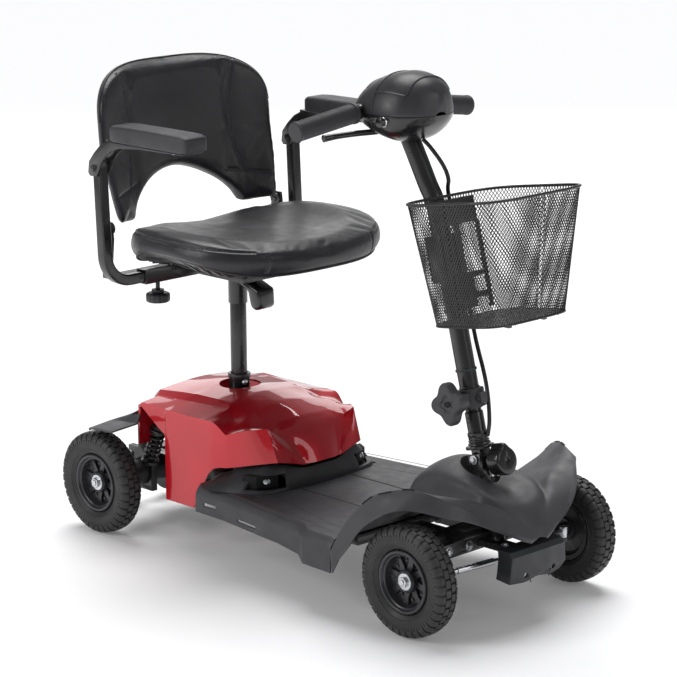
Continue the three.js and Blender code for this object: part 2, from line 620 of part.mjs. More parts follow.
// ---------- steering stem ----------
/** Carries a shape drawn upright about the yoke into the leaning steering column. */
const leaned = (g) => g.rotateY(-LEAN).translate(...YOKE);
const PITMAN_TOP = LINK_Z + 18;
const PITMAN_T = 4;         // thin enough to clear the rods' eyes when the leaning stem turns it down
function steeringStem() {
  return join(
    rod(column(-141), column(-20), 17, 20),
    leaned(box(-16, 16, -19, 19, -26, -16)),
    ...[-1, 1].map((s) => leaned(box(-13, 13, s > 0 ? 13 : -19, s > 0 ? 19 : -13, -18, 9))),
    leaned(rod([0, -21, 0], [0, 21, 0], 5, 12)),
    leaned(rod([12, 0, -8], [30, 0, -8], 11, 16)),
    leaned(box(13, 16, -19, 19, -20, 2)),
    box(PITMAN_X - 46, PITMAN_X, -9, 9, PITMAN_TOP - PITMAN_T, PITMAN_TOP),
    rod([PITMAN_X, 0, PITMAN_TOP - PITMAN_T], [PITMAN_X, 0, PITMAN_TOP], 9, 16),
    rod([PITMAN_X, 0, LINK_Z - 9], [PITMAN_X, 0, PITMAN_TOP], 3.5, 10),
  );
}
add(scooter, 'steering_stem', steeringStem(), STEEL);

const tiller = new THREE.Group();
tiller.position.set(...YOKE);
tiller.rotation.y = -LEAN;
scooter.add(tiller);

/** The tilt lock is a drop-shaped knob facing forward. */
function tiltKnob() {
  const outline = Array.from({ length: 20 }, (_, i) => {
    const a = (2 * Math.PI * i) / 20;
    return [24 * Math.sin(a), 24 * Math.cos(a) + (i === 0 ? 7 : 0)];
  });
  return slabZ(outline, 30 + GAP, 58).applyMatrix4(
    new THREE.Matrix4().makeBasis(V(0, 1, 0), V(0, 0, 1), V(1, 0, 0))).translate(0, 0, -8);
}
add(tiller, 'tilt_lock_knob', tiltKnob(), GLOSS);

// ---------- tiller ----------
const TUBE_R = 16.5;
const CLAMP_S = [86, 118];
add(tiller, 'tiller_lower_tube', cut(join(
  rod([0, -12.5, 0], [0, 12.5, 0], 12, 20),
  box(-10, 10, -12.5, 12.5, 0, 18),
  turnedZ([[0, 17], [24, 17], [24, 22], [18, 25], [18, 30], [15.5, 33], [15.5, 78], [13.5, 80],
    [13.5, 300], [0, 300]], 20),
), rod([0, -20, 0], [0, 20, 0], 5.4, 12)), STEEL);
add(tiller, 'tiller_clamp', cut(join(
  rod([0, 0, CLAMP_S[0]], [0, 0, CLAMP_S[1]], 23, 20),
  box(-15, 15, -42, 0, CLAMP_S[0] + 3, CLAMP_S[1] - 5),
), rod([0, 0, 70], [0, 0, 130], TUBE_R + GAP, 20)), DARK);

function clampKnob() {
  const outline = Array.from({ length: 32 }, (_, i) => {
    const a = (2 * Math.PI * i) / 32;
    const r = 31 + 5.5 * Math.cos(4 * a);
    return [r * Math.cos(a), 101 + r * Math.sin(a)];
  });
  return slabY(outline, -62, -42 - GAP);
}
add(tiller, 'tiller_clamp_knob', clampKnob(), DARK);

const TUBE_PATH = [column(84), column(160), column(240), column(320), column(388), [266, 0, 676],
  [249, 0, 704],
  [230, 0, 738], [211, 0, 771], [200, 0, 791]];
add(scooter, 'tiller_upper_tube', cut(
  sweep(TUBE_PATH, roundSection(TUBE_R, 12), 16), rod(column(70), column(340), 14, 20)), STEEL);

/** The cable leaves the head, runs down the left of the tube and ends in front of the yoke. */
const CABLE_R = 3.5;
const CABLE_PATH = [[238, 0, 778], [252, 4, 765], [272, 12, 738], [277, 20, 714], [270, 27, 690],
  column(392, 6, 29),
  column(300, 6, 28), column(200, 10, 25), column(140, 20, 20), column(100, 29, 10), column(60, 28,
    4), column(36, 20, 2)];
add(scooter, 'tiller_cable', sweep(CABLE_PATH, roundSection(CABLE_R, 8), 30), GLOSS);

// ---------- basket ----------
const BASKET_TILT = THREE.MathUtils.degToRad(8.6);
function basketRing(cx, z, a, b, count = 24) {
  const power = 2 / 4.5;
  return Array.from({ length: count }, (_, i) => {
    const t = (2 * Math.PI * (i + 0.5)) / count;
    const u = a * Math.sign(Math.cos(t)) * Math.abs(Math.cos(t)) ** power;
    const v = b * Math.sign(Math.sin(t)) * Math.abs(Math.sin(t)) ** power;
    return V(cx + u * Math.cos(BASKET_TILT), v, z + u * Math.sin(BASKET_TILT));
  });
}
function basket() {
  const outer = loft([basketRing(415, 502, 80, 94), basketRing(397, 705, 113.5, 118.5)]);
  const inner = loft([basketRing(415, 505.5, 77, 91), basketRing(396.8, 710, 111, 116)]);
  const rimOuter = loft([basketRing(397, 702, 115.5, 120.5), basketRing(397, 707, 115.5, 120.5)]);
  return cut(join(outer, rimOuter), inner);
}
add(scooter, 'basket', basket(), WIRE);
add(tiller, 'basket_bracket', cut(
  box(-21, 14, -21, 21, 300, 378), box(-TUBE_R - GAP, 20, -TUBE_R - GAP, TUBE_R + GAP, 290, 390)), STEEL);

// ---------- head ----------
/** Rows of [x, half width, top, bottom] down the length of the head. */
const HEAD_ROWS = [
  [112, 26, 836, 810], [124, 46, 852, 800], [148, 60, 871, 786], [180, 68, 884, 776], [212, 70, 890, 772],
  [240, 64, 886, 780], [260, 50, 877, 797], [272, 32, 866, 812], [279, 12, 856, 828],
];
function headSolid(inset) {
  return loft(HEAD_ROWS.map(([x, w, top, bottom], row) => Array.from({ length: 16 }, (_, i) => {
    const a = (2 * Math.PI * i) / 16;
    const c = Math.sign(Math.cos(a)) * Math.abs(Math.cos(a)) ** 0.85;
    const s = Math.sin(a);
    const end = row === 0 ? inset : row === HEAD_ROWS.length - 1 ? -inset : 0;
    const height = s > 0 ? top - HEAD_SPLIT_Z - inset : HEAD_SPLIT_Z - bottom - inset;
    return V(x + end, (w - inset) * c, HEAD_SPLIT_Z + height * s);
  })));
}
const BAR_R = 11;
const BAR_PATH = [[147, 200, 804], [149, 137, 812.5], [151, 75, 821], [153, 45, 825], [155, 0, 828],
  [153, -45, 825],
  [151, -75, 821], [149, -137, 812.5], [147, -200, 804]];
const LEVER_Z = 786;
const barHole = sweep(BAR_PATH, roundSection(BAR_R + 0.6, 12), 12);
const dialHole = rod([142, 0, 835], [142, 0, 900], 11, 16);
const hornHole = rod([134, 30, 825], [134, 30, 880], 6.6, 12);
const keyHole = rod([214, -75, 812], [214, -50, 812], 7.4, 12);
const shellSolid = cut(headSolid(0), headSolid(3), barHole, dialHole, hornHole, keyHole,
  rod([222, 0, 751], [189, 0, 811], 17.4, 16),
  rod([236, 0, 765], [244, 0, 790], 6, 10), box(100, 184, -100, 100, LEVER_Z - 7, LEVER_Z + 5));
add(scooter, 'head_lower_shell', cut(shellSolid, box(0, 400, -150, 150, HEAD_SPLIT_Z - GAP / 2, 950)),
  GLOSS);
add(scooter, 'head_upper_shell', cut(shellSolid, box(0, 400, -150, 150, 700, HEAD_SPLIT_Z + GAP / 2)),
  PLASTIC);
add(scooter, 'handlebar', join(sweep(BAR_PATH, roundSection(BAR_R, 12), 12),
  rod([157, 0, 827], [180, 0, 812], 8)), GLOSS);
for (const [side, sign] of SIDES) {
  const inner = [151, sign * 76, 820.9];
  const outer = [146.7, sign * 206, 803];
  add(scooter, `grip_${side}`, cut(
    join(rod(inner, outer, 17, 20), rod([151.1, sign * 72, 821.4], [150.8, sign * 80, 820.3], 18.5, 20)),
    rod([151.4, sign * 60, 823], [147.05, sign * 201, 803.8], BAR_R + 1, 12)), RUBBER);
}
add(scooter, 'drive_lever', slabZ([[176, 30], [140, 66], [118, 118], [108, 120], [104, 112], [122, 70],
  [146, 34], [150, 0], [146, -34], [122, -70],
    [104, -112], [108, -120], [118, -118], [140, -66], [176, -30]], LEVER_Z - 5, LEVER_Z + 3), GLOSS);
add(scooter, 'speed_dial', rod([142, 0, 846], [142, 0, 870], 10, 16), GLOSS);
add(scooter, 'horn_button', rod([134, 30, 838], [134, 30, 857], 6, 12), paint(0xb8860b, 0.5));
add(scooter, 'key_switch', join(rod([214, -73, 812], [214, -56, 812], 7, 16),
  box(211, 217, -76, -72, 806, 818)), SILVER);

export default scooter;
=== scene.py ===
"""Looks of a four-wheeled mobility scooter: +X forward, +Y to the rider's left, +Z up.

Shapes are written in millimetres and become metres when a piece is made.
"""

import json
import math
from itertools import product

import bmesh
import bpy
from mathutils import Matrix, Vector
from mathutils.bvhtree import BVHTree

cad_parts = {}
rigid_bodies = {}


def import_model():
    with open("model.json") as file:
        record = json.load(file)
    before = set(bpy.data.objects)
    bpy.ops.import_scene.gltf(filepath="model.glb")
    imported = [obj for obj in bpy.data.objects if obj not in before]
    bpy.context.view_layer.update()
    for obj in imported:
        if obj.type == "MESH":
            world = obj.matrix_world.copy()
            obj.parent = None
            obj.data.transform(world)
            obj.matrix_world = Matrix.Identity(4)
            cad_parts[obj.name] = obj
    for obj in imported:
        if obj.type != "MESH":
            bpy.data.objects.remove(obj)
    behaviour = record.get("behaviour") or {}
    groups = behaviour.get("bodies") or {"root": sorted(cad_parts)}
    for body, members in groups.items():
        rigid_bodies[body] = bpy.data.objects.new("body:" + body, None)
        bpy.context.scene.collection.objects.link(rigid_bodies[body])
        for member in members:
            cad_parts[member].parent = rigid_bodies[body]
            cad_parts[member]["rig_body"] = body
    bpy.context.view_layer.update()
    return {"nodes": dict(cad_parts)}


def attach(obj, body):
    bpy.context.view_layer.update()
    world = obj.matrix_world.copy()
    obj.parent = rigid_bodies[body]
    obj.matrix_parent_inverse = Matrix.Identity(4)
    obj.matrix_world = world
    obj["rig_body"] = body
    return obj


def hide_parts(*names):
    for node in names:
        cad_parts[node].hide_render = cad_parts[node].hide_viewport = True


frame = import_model()
NODES = frame["nodes"]
MM = 0.001
SIDES = (("right", -1), ("left", 1))

# ---------- places shared by several pieces, in millimetres ----------
AXLE_X = 397
WHEEL_Z = 95
FRONT_WHEEL_Y = 197
REAR_WHEEL_Y = 191
KINGPIN_Y = 150
YOKE = Vector((375, 0, 257))
LEAN = math.radians(14.4)
POST_X = -227
ARM_Y = 232


def column(s, x=0.0, y=0.0):
    """A point s along the leaning steering column, x ahead of it and y to its left."""
    return Vector((
        YOKE.x + x * math.cos(LEAN) - s * math.sin(LEAN),
        y,
        YOKE.z + s * math.cos(LEAN) + x * math.sin(LEAN),
    ))


# ====================================================================
# materials
# ====================================================================
def blank_material(name):
    material = bpy.data.materials.new(name)
    material.use_nodes = True
    tree = material.node_tree
    return material, tree, tree.nodes["Principled BSDF"]


def noise(tree, coordinates, scale, detail=3.0):
    """A noise texture, whose scale is the number of features in a metre."""
    node = tree.nodes.new("ShaderNodeTexNoise")
    node.inputs["Scale"].default_value = scale
    node.inputs["Detail"].default_value = detail
    tree.links.new(coordinates, node.inputs["Vector"])
    return node.outputs["Fac"]


def remapped(tree, value, low, high, to_low, to_high):
    node = tree.nodes.new("ShaderNodeMapRange")
    for socket, number in zip(node.inputs[1:5], (low, high, to_low, to_high)):
        socket.default_value = number
    tree.links.new(value, node.inputs["Value"])
    return node.outputs["Result"]


def mixed(tree, factor, first, second):
    """A mix of two colours; the first may be a socket."""
    node = tree.nodes.new("ShaderNodeMix")
    node.data_type = "RGBA"
    tree.links.new(factor, node.inputs["Factor"])
    for socket, colour in ((node.inputs[6], first), (node.inputs[7], second)):
        if isinstance(colour, tuple):
            socket.default_value = (*colour, 1)
        else:
            tree.links.new(colour, socket)
    return node.outputs[2]


def bumped(tree, height, depth, strength, normal=None):
    """A bump of the given depth in millimetres."""
    node = tree.nodes.new("ShaderNodeBump")
    node.inputs["Strength"].default_value = strength
    node.inputs["Distance"].default_value = depth * MM
    tree.links.new(height, node.inputs["Height"])
    if normal:
        tree.links.new(normal, node.inputs["Normal"])
    return node.outputs["Normal"]


def finish_of(name, colour, roughness, *, grain, depth, pebbled=False, metallic=0.0, coat=0.0,
              mottle=0.14, spread=0.08, strength=0.6, sheen=0.0, worn=None, stretch=(1, 1, 1)):
    """A moulded, painted or coated surface with grain, uneven gloss and faint colour variation."""
    material, tree, shader = blank_material(name)
    place = tree.nodes.new("ShaderNodeTexCoord").outputs["Object"]
    stretched = tree.nodes.new("ShaderNodeMapping")
    stretched.inputs["Scale"].default_value = stretch
    tree.links.new(place, stretched.inputs["Vector"])
    if pebbled:
        cells = tree.nodes.new("ShaderNodeTexVoronoi")
        cells.feature = "SMOOTH_F1"
        cells.inputs["Scale"].default_value = grain
        tree.links.new(stretched.outputs[0], cells.inputs["Vector"])
        height = cells.outputs["Distance"]
    else:
        height = noise(tree, stretched.outputs[0], grain, 4.0)
    patches = noise(tree, place, 17.0, 4.0)
    darker = tuple(c * (1 - mottle) for c in colour)
    lighter = tuple(min(c * (1 + mottle), 1) for c in colour)
    paint = mixed(tree, remapped(tree, patches, 0.3, 0.7, 0, 1), darker, lighter)
    if worn:
        edge = tree.nodes.new("ShaderNodeNewGeometry").outputs["Pointiness"]
        paint = mixed(tree, remapped(tree, edge, 0.53, 0.6, 0, 0.55), paint, worn)
    tree.links.new(paint, shader.inputs["Base Color"])
    smears = noise(tree, place, 43.0, 5.0)
    tree.links.new(remapped(tree, smears, 0.3, 0.7, roughness - spread, roughness + spread),
                   shader.inputs["Roughness"])
    waves = bumped(tree, noise(tree, place, 26.0, 2.0), 0.35, 0.25)
    tree.links.new(bumped(tree, height, depth, strength, waves), shader.inputs["Normal"])
    shader.inputs["Metallic"].default_value = metallic
    shader.inputs["Coat Weight"].default_value = coat
    shader.inputs["Coat Roughness"].default_value = 0.06
    shader.inputs["Sheen Weight"].default_value = sheen
    shader.inputs["Sheen Roughness"].default_value = 0.4
    return material


def candy_paint():
    """Red lacquer with fine metal flakes under a clear coat."""
    material, tree, shader = blank_material("red_lacquer")
    place = tree.nodes.new("ShaderNodeTexCoord").outputs["Object"]
    flakes = tree.nodes.new("ShaderNodeTexVoronoi")
    flakes.inputs["Scale"].default_value = 2600.0
    tree.links.new(place, flakes.inputs["Vector"])
    spark = tree.nodes.new("ShaderNodeSeparateColor")
    tree.links.new(flakes.outputs["Color"], spark.inputs["Color"])
    depth = noise(tree, place, 6.0, 2.0)
    body = mixed(tree, remapped(tree, depth, 0.3, 0.7, 0, 1), (0.48, 0.003, 0.011), (0.58, 0.006, 0.018))
    lit = mixed(tree, remapped(tree, spark.outputs["Red"], 0.86, 1.0, 0, 0.5), body, (0.85, 0.04, 0.06))
    tree.links.new(lit, shader.inputs["Base Color"])
    tree.links.new(remapped(tree, spark.outputs["Green"], 0, 1, 0.28, 0.42), shader.inputs["Roughness"])
    tree.links.new(bumped(tree, noise(tree, place, 60.0, 2.0), 0.2, 0.12), shader.inputs["Normal"])
    shader.inputs["Metallic"].default_value = 0.4
    shader.inputs["Specular IOR Level"].default_value = 0.15
    shader.inputs["Coat Weight"].default_value = 1.0
    shader.inputs["Coat Roughness"].default_value = 0.03
    return material


MOULDED = finish_of("charcoal_moulding", (0.046, 0.046, 0.051), 0.52, grain=1500, depth=0.16, pebbled=True,
                    worn=(0.085, 0.085, 0.09))
CASE = finish_of("dark_moulding", (0.024, 0.025, 0.028), 0.45, grain=1500, depth=0.12, pebbled=True)
HEAD = finish_of("head_moulding", (0.031, 0.031, 0.034), 0.40, grain=1700, depth=0.1, pebbled=True)
ENAMEL = finish_of("black_enamel", (0.012, 0.012, 0.013), 0.33, grain=420, depth=0.06, coat=0.35,
                   worn=(0.05, 0.05, 0.052))
GLOSS = finish_of(
    "gloss_moulding", (0.009, 0.009, 0.010), 0.24, grain=300, depth=0.03, coat=0.3, spread=0.05
)
RED = candy_paint()
LEATHER = finish_of("black_upholstery", (0.0145, 0.0145, 0.0175), 0.38, grain=620, depth=0.28, pebbled=True,
                    sheen=0.15, strength=0.8, mottle=0.1, spread=0.07)
WELT = finish_of("welt_upholstery", (0.014, 0.014, 0.016), 0.46, grain=700, depth=0.2, pebbled=True)
THREAD = finish_of("thread", (0.11, 0.11, 0.12), 0.6, grain=2500, depth=0.1, sheen=0.3)
TYRE = finish_of("tyre_rubber", (0.018, 0.018, 0.019), 0.55, grain=900, depth=0.12, mottle=0.25,
                 worn=(0.05, 0.049, 0.048))
RIM = finish_of("rim_moulding", (0.028, 0.028, 0.031), 0.30, grain=900, depth=0.06, pebbled=True)
GRIP = finish_of("grip_rubber", (0.031, 0.031, 0.034), 0.5, grain=2100, depth=0.2, pebbled=True)
PAD = finish_of("pad_foam", (0.028, 0.028, 0.032), 0.5, grain=1600, depth=0.18, pebbled=True)
CABLE = finish_of("cable_jacket", (0.011, 0.011, 0.012), 0.4, grain=800, depth=0.05)
ZINC = finish_of("zinc_plate", (0.60, 0.61, 0.63), 0.3, grain=500, depth=0.05, metallic=1.0, mottle=0.1)
CHROME = finish_of(
    "chrome_plate", (0.82, 0.83, 0.85), 0.1, grain=300, depth=0.02, metallic=1.0, mottle=0.03, spread=0.04
)
WIRE = finish_of("coated_wire", (0.010, 0.010, 0.011), 0.36, grain=900, depth=0.05, coat=0.2)
# Near-black for dark seams and partings, and painted shade standing in for the dark insides of slots,
# recesses and holes.
SEAM_AND_SHADE = finish_of("seam_and_painted_shade", (0.004, 0.004, 0.004), 0.8, grain=600, depth=0.1)
YELLOW = finish_of("yellow_moulding", (0.55, 0.33, 0.02), 0.42, grain=1200, depth=0.08, pebbled=True)
AMBER = finish_of("amber_moulding", (0.5, 0.2, 0.015), 0.25, grain=700, depth=0.04)
DIAL_PRINT = finish_of("dial_print", (0.6, 0.6, 0.6), 0.5, grain=900, depth=0.02)


# ====================================================================
# shape helpers
# ====================================================================
class Shape:
    """Vertices in millimetres and faces, gathered from several solids."""

    def __init__(self):
        self.verts = []
        self.faces = []

    def add(self, solid, move=None):
        verts, faces = solid
        start = len(self.verts)
        self.verts += [move @ Vector(v) for v in verts] if move else [Vector(v) for v in verts]
        self.faces += [tuple(start + i for i in f) for f in faces]
        return self


def shape(*solids):
    made = Shape()
    for solid in solids:
        made.add(solid)
    return made


def spline(points, steps, corners=()):
    """Points on a smooth curve through the given ones, which turns sharply at the indices in corners."""
    pts = [Vector(p) for p in points]
    out = []
    for i in range(len(pts) - 1):
        b, c = pts[i], pts[i + 1]
        a = pts[i - 1] if i > 0 and i not in corners else b * 2 - c
        d = pts[i + 2] if i + 2 < len(pts) and i + 1 not in corners else c * 2 - b
        for k in range(steps):
            t = k / steps
            out.append(0.5 * (2 * b + (c - a) * t + (2 * a - 5 * b + 4 * c - d) * t * t
                              + (3 * b - a - 3 * c + d) * t ** 3))
    out.append(pts[-1])
    return out


def loft(rings, caps=True, closed=False):
    """Skin over rings of points of equal count. A closed loft joins its last ring to its first."""
    n = len(rings[0])
    verts = [p for ring in rings for p in ring]
    faces = []
    count = len(rings) if closed else len(rings) - 1
    for i in range(count):
        a, b = i * n, ((i + 1) % len(rings)) * n
        faces += [(a + j, b + j, b + (j + 1) % n, a + (j + 1) % n) for j in range(n)]
    if caps and not closed:
        faces.append(tuple(range(n)))
        faces.append(tuple(reversed(range((len(rings) - 1) * n, len(rings) * n))))
    return verts, faces


def circle(radius, sides=24, flat=1.0):
    return [(radius * math.cos(2 * math.pi * i / sides), flat * radius * math.sin(2 * math.pi * i / sides))
            for i in range(sides)]


def rounded_square(size, corner, steps=3):
    """The section of a square tube with rounded corners."""
    h = size / 2 - corner
    out = []
    for q, (sx, sy) in enumerate(((1, 1), (-1, 1), (-1, -1), (1, -1))):
        for k in range(steps + 1):
            a = math.pi / 2 * (q + k / steps)
            out.append((sx * h + corner * math.cos(a), sy * h + corner * math.sin(a)))
    return out


def tube(points, section, scale=None):
    """A bar of the given section along points, kept from twisting. scale gives each point's own size."""
    pts = [Vector(p) for p in points]
    rings = []
    side = None
    for i, p in enumerate(pts):
        along = (pts[min(i + 1, len(pts) - 1)] - pts[max(i - 1, 0)]).normalized()
        if side is None:
            start = Vector((0, 1, 0)) if abs(along.y) < 0.9 else Vector((0, 0, 1))
            side = (start - along * start.dot(along)).normalized()
        else:
            side = (side - along * side.dot(along)).normalized()
        up = along.cross(side)
        k = scale[i] if scale else 1.0
        rings.append([p + side * (u * k) + up * (v * k) for u, v in section])
    return loft(rings)


def rod(a, b, radius, sides=32, end=None):
    """A round bar, or a cone that ends with another radius."""
    return tube([a, b], circle(radius, sides), scale=[1.0, (end if end is not None else radius) / radius])


def lathe(profile, sides=64, axis="Y", centre=(0, 0, 0)):
    """A closed ring section of [radius, height] points turned about an axis."""
    rings = []
    for i in range(sides):
        a = 2 * math.pi * i / sides
        c, s = math.cos(a), math.sin(a)
        rings.append(
            [
                Vector(centre) + (Vector((r * c, h, r * s)) if axis == "Y" else Vector((r * c, r * s, h)))
                for r, h in profile
            ]
        )
    return loft(rings, closed=True)


def spun(profile, sides=48, axis="Z", centre=(0, 0, 0), direction=None):
    """A solid of revolution from open [radius, height] points, with flat caps where it ends."""
    rings = []
    for r, h in profile:
        ring = []
        for i in range(sides):
            a = 2 * math.pi * i / sides
            c, s = r * math.cos(a), r * math.sin(a)
            ring.append(Vector((c, h, s)) if axis == "Y" else Vector((c, s, h)))
        rings.append(ring)
    turn = Matrix.Identity(3)
    if direction:
        turn = Vector((0, 0, 1)).rotation_difference(Vector(direction)).to_matrix()
    rings = [[turn @ p + Vector(centre) for p in ring] for ring in rings]
    return loft(rings)


def block(x0, x1, y0, y1, z0, z1):
    verts = [(x, y, z) for z in (z0, z1) for x, y in ((x0, y0), (x1, y0), (x1, y1), (x0, y1))]
    return loft([verts[:4], verts[4:]])


def prism(outline, low, high, axis="Y"):
    """An outline given thickness along Y ([x, z] points) or Z ([x, y] points)."""
    def place(p, h):
        return Vector((p[0], h, p[1])) if axis == "Y" else Vector((p[0], p[1], h))
    return loft([[place(p, low) for p in outline], [place(p, high) for p in outline]])


def mirrored(solid):
    verts, faces = solid
    return [Vector((v[0], -v[1], v[2])) for v in verts], [tuple(reversed(f)) for f in faces]


def both_halves(rows):
    """Rows of [x, y, z] from the left edge to the middle line, with the right half added."""
    return [[*row, *[(x, -y, z) for x, y, z in reversed(row) if y > 0]] for row in rows]


def smooth_grid(rows, along, across, sharp_columns=(), sharp_rows=()):
    """A finer grid through the given one, creased at some of its columns and rows."""
    fine = [spline(row, across, sharp_columns) for row in rows]
    columns = [spline([row[j] for row in fine], along, sharp_rows) for j in range(len(fine[0]))]
    return [[c[i] for c in columns] for i in range(len(columns[0]))]


def grid(rows):
    n = len(rows[0])
    faces = [(i * n + j, i * n + j + 1, (i + 1) * n + j + 1, (i + 1) * n + j)
             for i in range(len(rows) - 1) for j in range(n - 1)]
    return [p for row in rows for p in row], faces


def mirrored_columns(columns, half):
    """The same column indices with those of the mirrored half, where half is the middle column's index."""
    return tuple(columns) + tuple(2 * half - c for c in columns)


# ====================================================================
# objects
# ====================================================================
def mesh_object(name, made):
    mesh = bpy.data.meshes.new(name)
    mesh.from_pydata([v * MM for v in made.verts], [], made.faces)
    mesh.validate()
    obj = bpy.data.objects.new(name, mesh)
    bpy.context.scene.collection.objects.link(obj)
    return obj


def outward(obj):
    """Turns the faces of closed parts outward."""
    bm = bmesh.new()
    bm.from_mesh(obj.data)
    bmesh.ops.recalc_face_normals(bm, faces=bm.faces)
    bm.to_mesh(obj.data)
    bm.free()


def applied(obj):
    """Replaces the mesh by what its modifiers make of it."""
    graph = bpy.context.evaluated_depsgraph_get()
    mesh = bpy.data.meshes.new_from_object(obj.evaluated_get(graph), depsgraph=graph)
    obj.modifiers.clear()
    obj.data = mesh
    return obj


def bevelled(obj, width, segments=2, angle=32):
    mod = obj.modifiers.new("bevel", "BEVEL")
    mod.width = width * MM
    mod.segments = segments
    mod.limit_method = "ANGLE"
    mod.angle_limit = math.radians(angle)
    mod.use_clamp_overlap = True
    return applied(obj)


def carved(obj, tool):
    """Cuts a shape out of an object."""
    cutter = mesh_object("cutter", tool)
    outward(cutter)
    mod = obj.modifiers.new("cut", "BOOLEAN")
    mod.operation = "DIFFERENCE"
    mod.solver = "EXACT"
    mod.object = cutter
    bpy.context.view_layer.update()
    applied(obj)
    bpy.data.objects.remove(cutter)
    return obj


def thickened(obj, thickness, offset=-1.0):
    mod = obj.modifiers.new("wall", "SOLIDIFY")
    mod.thickness = thickness * MM
    mod.offset = offset
    mod.use_even_offset = True
    return applied(obj)


def dressed(obj, body, material, nodes=(), smooth=38):
    """Gives a piece its material, its shading and its body, and hides the CAD nodes that it stands for."""
    mesh = obj.data
    mesh.materials.clear()
    mesh.materials.append(material)
    mesh.shade_smooth()
    mesh.set_sharp_from_angle(angle=math.radians(smooth))
    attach(obj, body)
    if nodes:
        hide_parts(*nodes)
    return obj


def piece(name, made, body, material, nodes=(), bevel=0.0, segments=2, smooth=38):
    """A closed piece, whose sharp edges are rounded by bevel millimetres."""
    obj = mesh_object(name, made)
    outward(obj)
    if bevel:
        bevelled(obj, bevel, segments)
    return dressed(obj, body, material, nodes, smooth)


def from_cad(node, material, bevel=0.8, name=None):
    """The CAD node's own solid with rounded edges and a finished surface."""
    source = NODES[node]
    obj = bpy.data.objects.new(name or f"{node}_finished", source.data.copy())
    bpy.context.scene.collection.objects.link(obj)
    bm = bmesh.new()
    bm.from_mesh(obj.data)
    bmesh.ops.remove_doubles(bm, verts=bm.verts, dist=1e-5)
    bmesh.ops.dissolve_limit(bm, angle_limit=math.radians(1), verts=bm.verts, edges=bm.edges)
    bm.to_mesh(obj.data)
    bm.free()
    bevelled(obj, bevel, 2, 42)
    return dressed(obj, source["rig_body"], material, [node], smooth=44)


# ====================================================================
# wheels
# ====================================================================
TREAD_R = 95
GROOVE_R = 91.2


def polar(radius, angle, y):
    return Vector((radius * math.cos(angle), y, radius * math.sin(angle)))


def lug(angle, width, section, drop=0.9):
    """A tread block: a closed [radius, y] section swept over a short angle, lower at its two ends."""
    lean = 0.12 * width
    low = [(min(r, r - drop if r > GROOVE_R else r), y) for r, y in section]
    stations = ((-0.5 * width, low), (-0.5 * width + lean, section), (0.5 * width - lean, section),
                (0.5 * width, low))
    return loft([[polar(r, angle + a, y) for r, y in cut] for a, cut in stations])


def tyre_shape():
    half = spline(
        [
            (GROOVE_R, 0, 0), (GROOVE_R, 13, 0), (88, 18.5, 0), (82, 21, 0), (73, 21.6, 0), (64, 20, 0),
            (58.5, 17, 0), (56, 15.5, 0)
        ],
        3, (1,)
    )
    profile = [(p.x, p.y) for p in half] + [(54.9, 14), (54.9, -14)] + [
        (p.x, -p.y)
        for p in reversed(half)
    ][:-1]
    made = shape(lathe(profile, 120))
    blocks = 36
    pitch = 2 * math.pi / blocks
    centre = [(90, 0.9), (TREAD_R, 0.9), (94.6, 8.6), (94.0, 10.4), (90, 10.8)]
    shoulder = [(89, 12.2), (94.0, 12.2), (92.6, 16.2), (89.2, 19.6), (83.5, 22.0), (80.5, 21.4), (85, 17)]
    fine = [(82, 20.6), (84.2, 21.3), (80.2, 22.3), (76.8, 22.0), (77, 20.8)]
    for i in range(blocks):
        a = i * pitch
        for sign in (-1, 1):
            turn = a + (0 if sign > 0 else pitch / 2)
            made.add(lug(turn, 0.8 * pitch, [(r, sign * y) for r, y in centre]))
            made.add(lug(turn + 0.45 * pitch, 0.74 * pitch, [(r, sign * y) for r, y in shoulder]))
            for k in (0.2, 0.7):
                made.add(lug(turn + k * pitch, 0.24 * pitch, [(r, sign * y) for r, y in fine]))
    for sign in (-1, 1):
        made.add(lathe([(62.4, sign * 19.6), (63.6, sign * 20.9), (64.8, sign * 20.2)], 96))
    return made


def rim_shape():
    """A dished wheel, +Y outward, with eight ribs between its hub and its raised outer ring."""
    made = shape(
        lathe(
            [
                (53.8, -15), (53.8, 15.5), (52.4, 17.6), (49.0, 18.0), (47.4, 16.6), (46.2, 13.5),
                (45.0, 13.2), (43.4, 12.0), (42.0, 2), (38, -3.2), (20, -3.2), (19, -12), (10.3, -12),
                (10.3, -8), (16, -6), (20, -7.5), (40, -7.5), (44, -12), (46, -15)
            ],
            96
        )
    )
    made.add(lathe([(10.3, -8), (19.5, -8), (19.5, 8.6), (18.2, 10.4), (10.3, 10.4)], 48))
    for i in range(8):
        turn = Matrix.Rotation(math.radians(45 * i + 12), 3, "Y")
        made.add(prism([(17, -4), (17, 7.6), (30, 6.0), (44, 9.5), (44, -4)], -1.9, 1.9), turn)
        half = Matrix.Rotation(math.radians(45 * i + 34.5), 3, "Y")
        made.add(spun([(3.4, -4), (3.4, -1.0), (2.4, 0.2)], 16, "Y", (33, 0, 0)), half)
    return made


def axle_end(turn_deg):
    """A plated washer, hexagon nut and threaded stub at the middle of a wheel."""
    turn = math.radians(turn_deg)
    hexagon = [
        (9.6 * math.cos(math.pi / 3 * i + turn), 9.6 * math.sin(math.pi / 3 * i + turn))
        for i in range(6)
    ]
    return shape(
        spun([(14.5, 10.2), (14.5, 11.2), (14.0, 11.7), (0.1, 11.7)], 48, "Y"),
        prism(hexagon, 11.5, 17.2),
        spun([(5.4, 16), (5.4, 18.6), (4.7, 19.4), (0.1, 19.4)], 32, "Y"),
    )


def dust_ring():
    return lathe([(15.2, 9.8), (18.0, 9.8), (18.0, 11.2), (17.2, 12.0), (16.0, 12.0), (15.2, 11.2)], 48)


def placed(made, x, y, z, flip):
    """A copy of a shape drawn about the origin, moved there and mirrored for the right-hand side."""
    out = Shape()
    solid = (made.verts, made.faces)
    out.add(mirrored(solid) if flip else solid)
    out.verts = [v + Vector((x, y, z)) for v in out.verts]
    return out


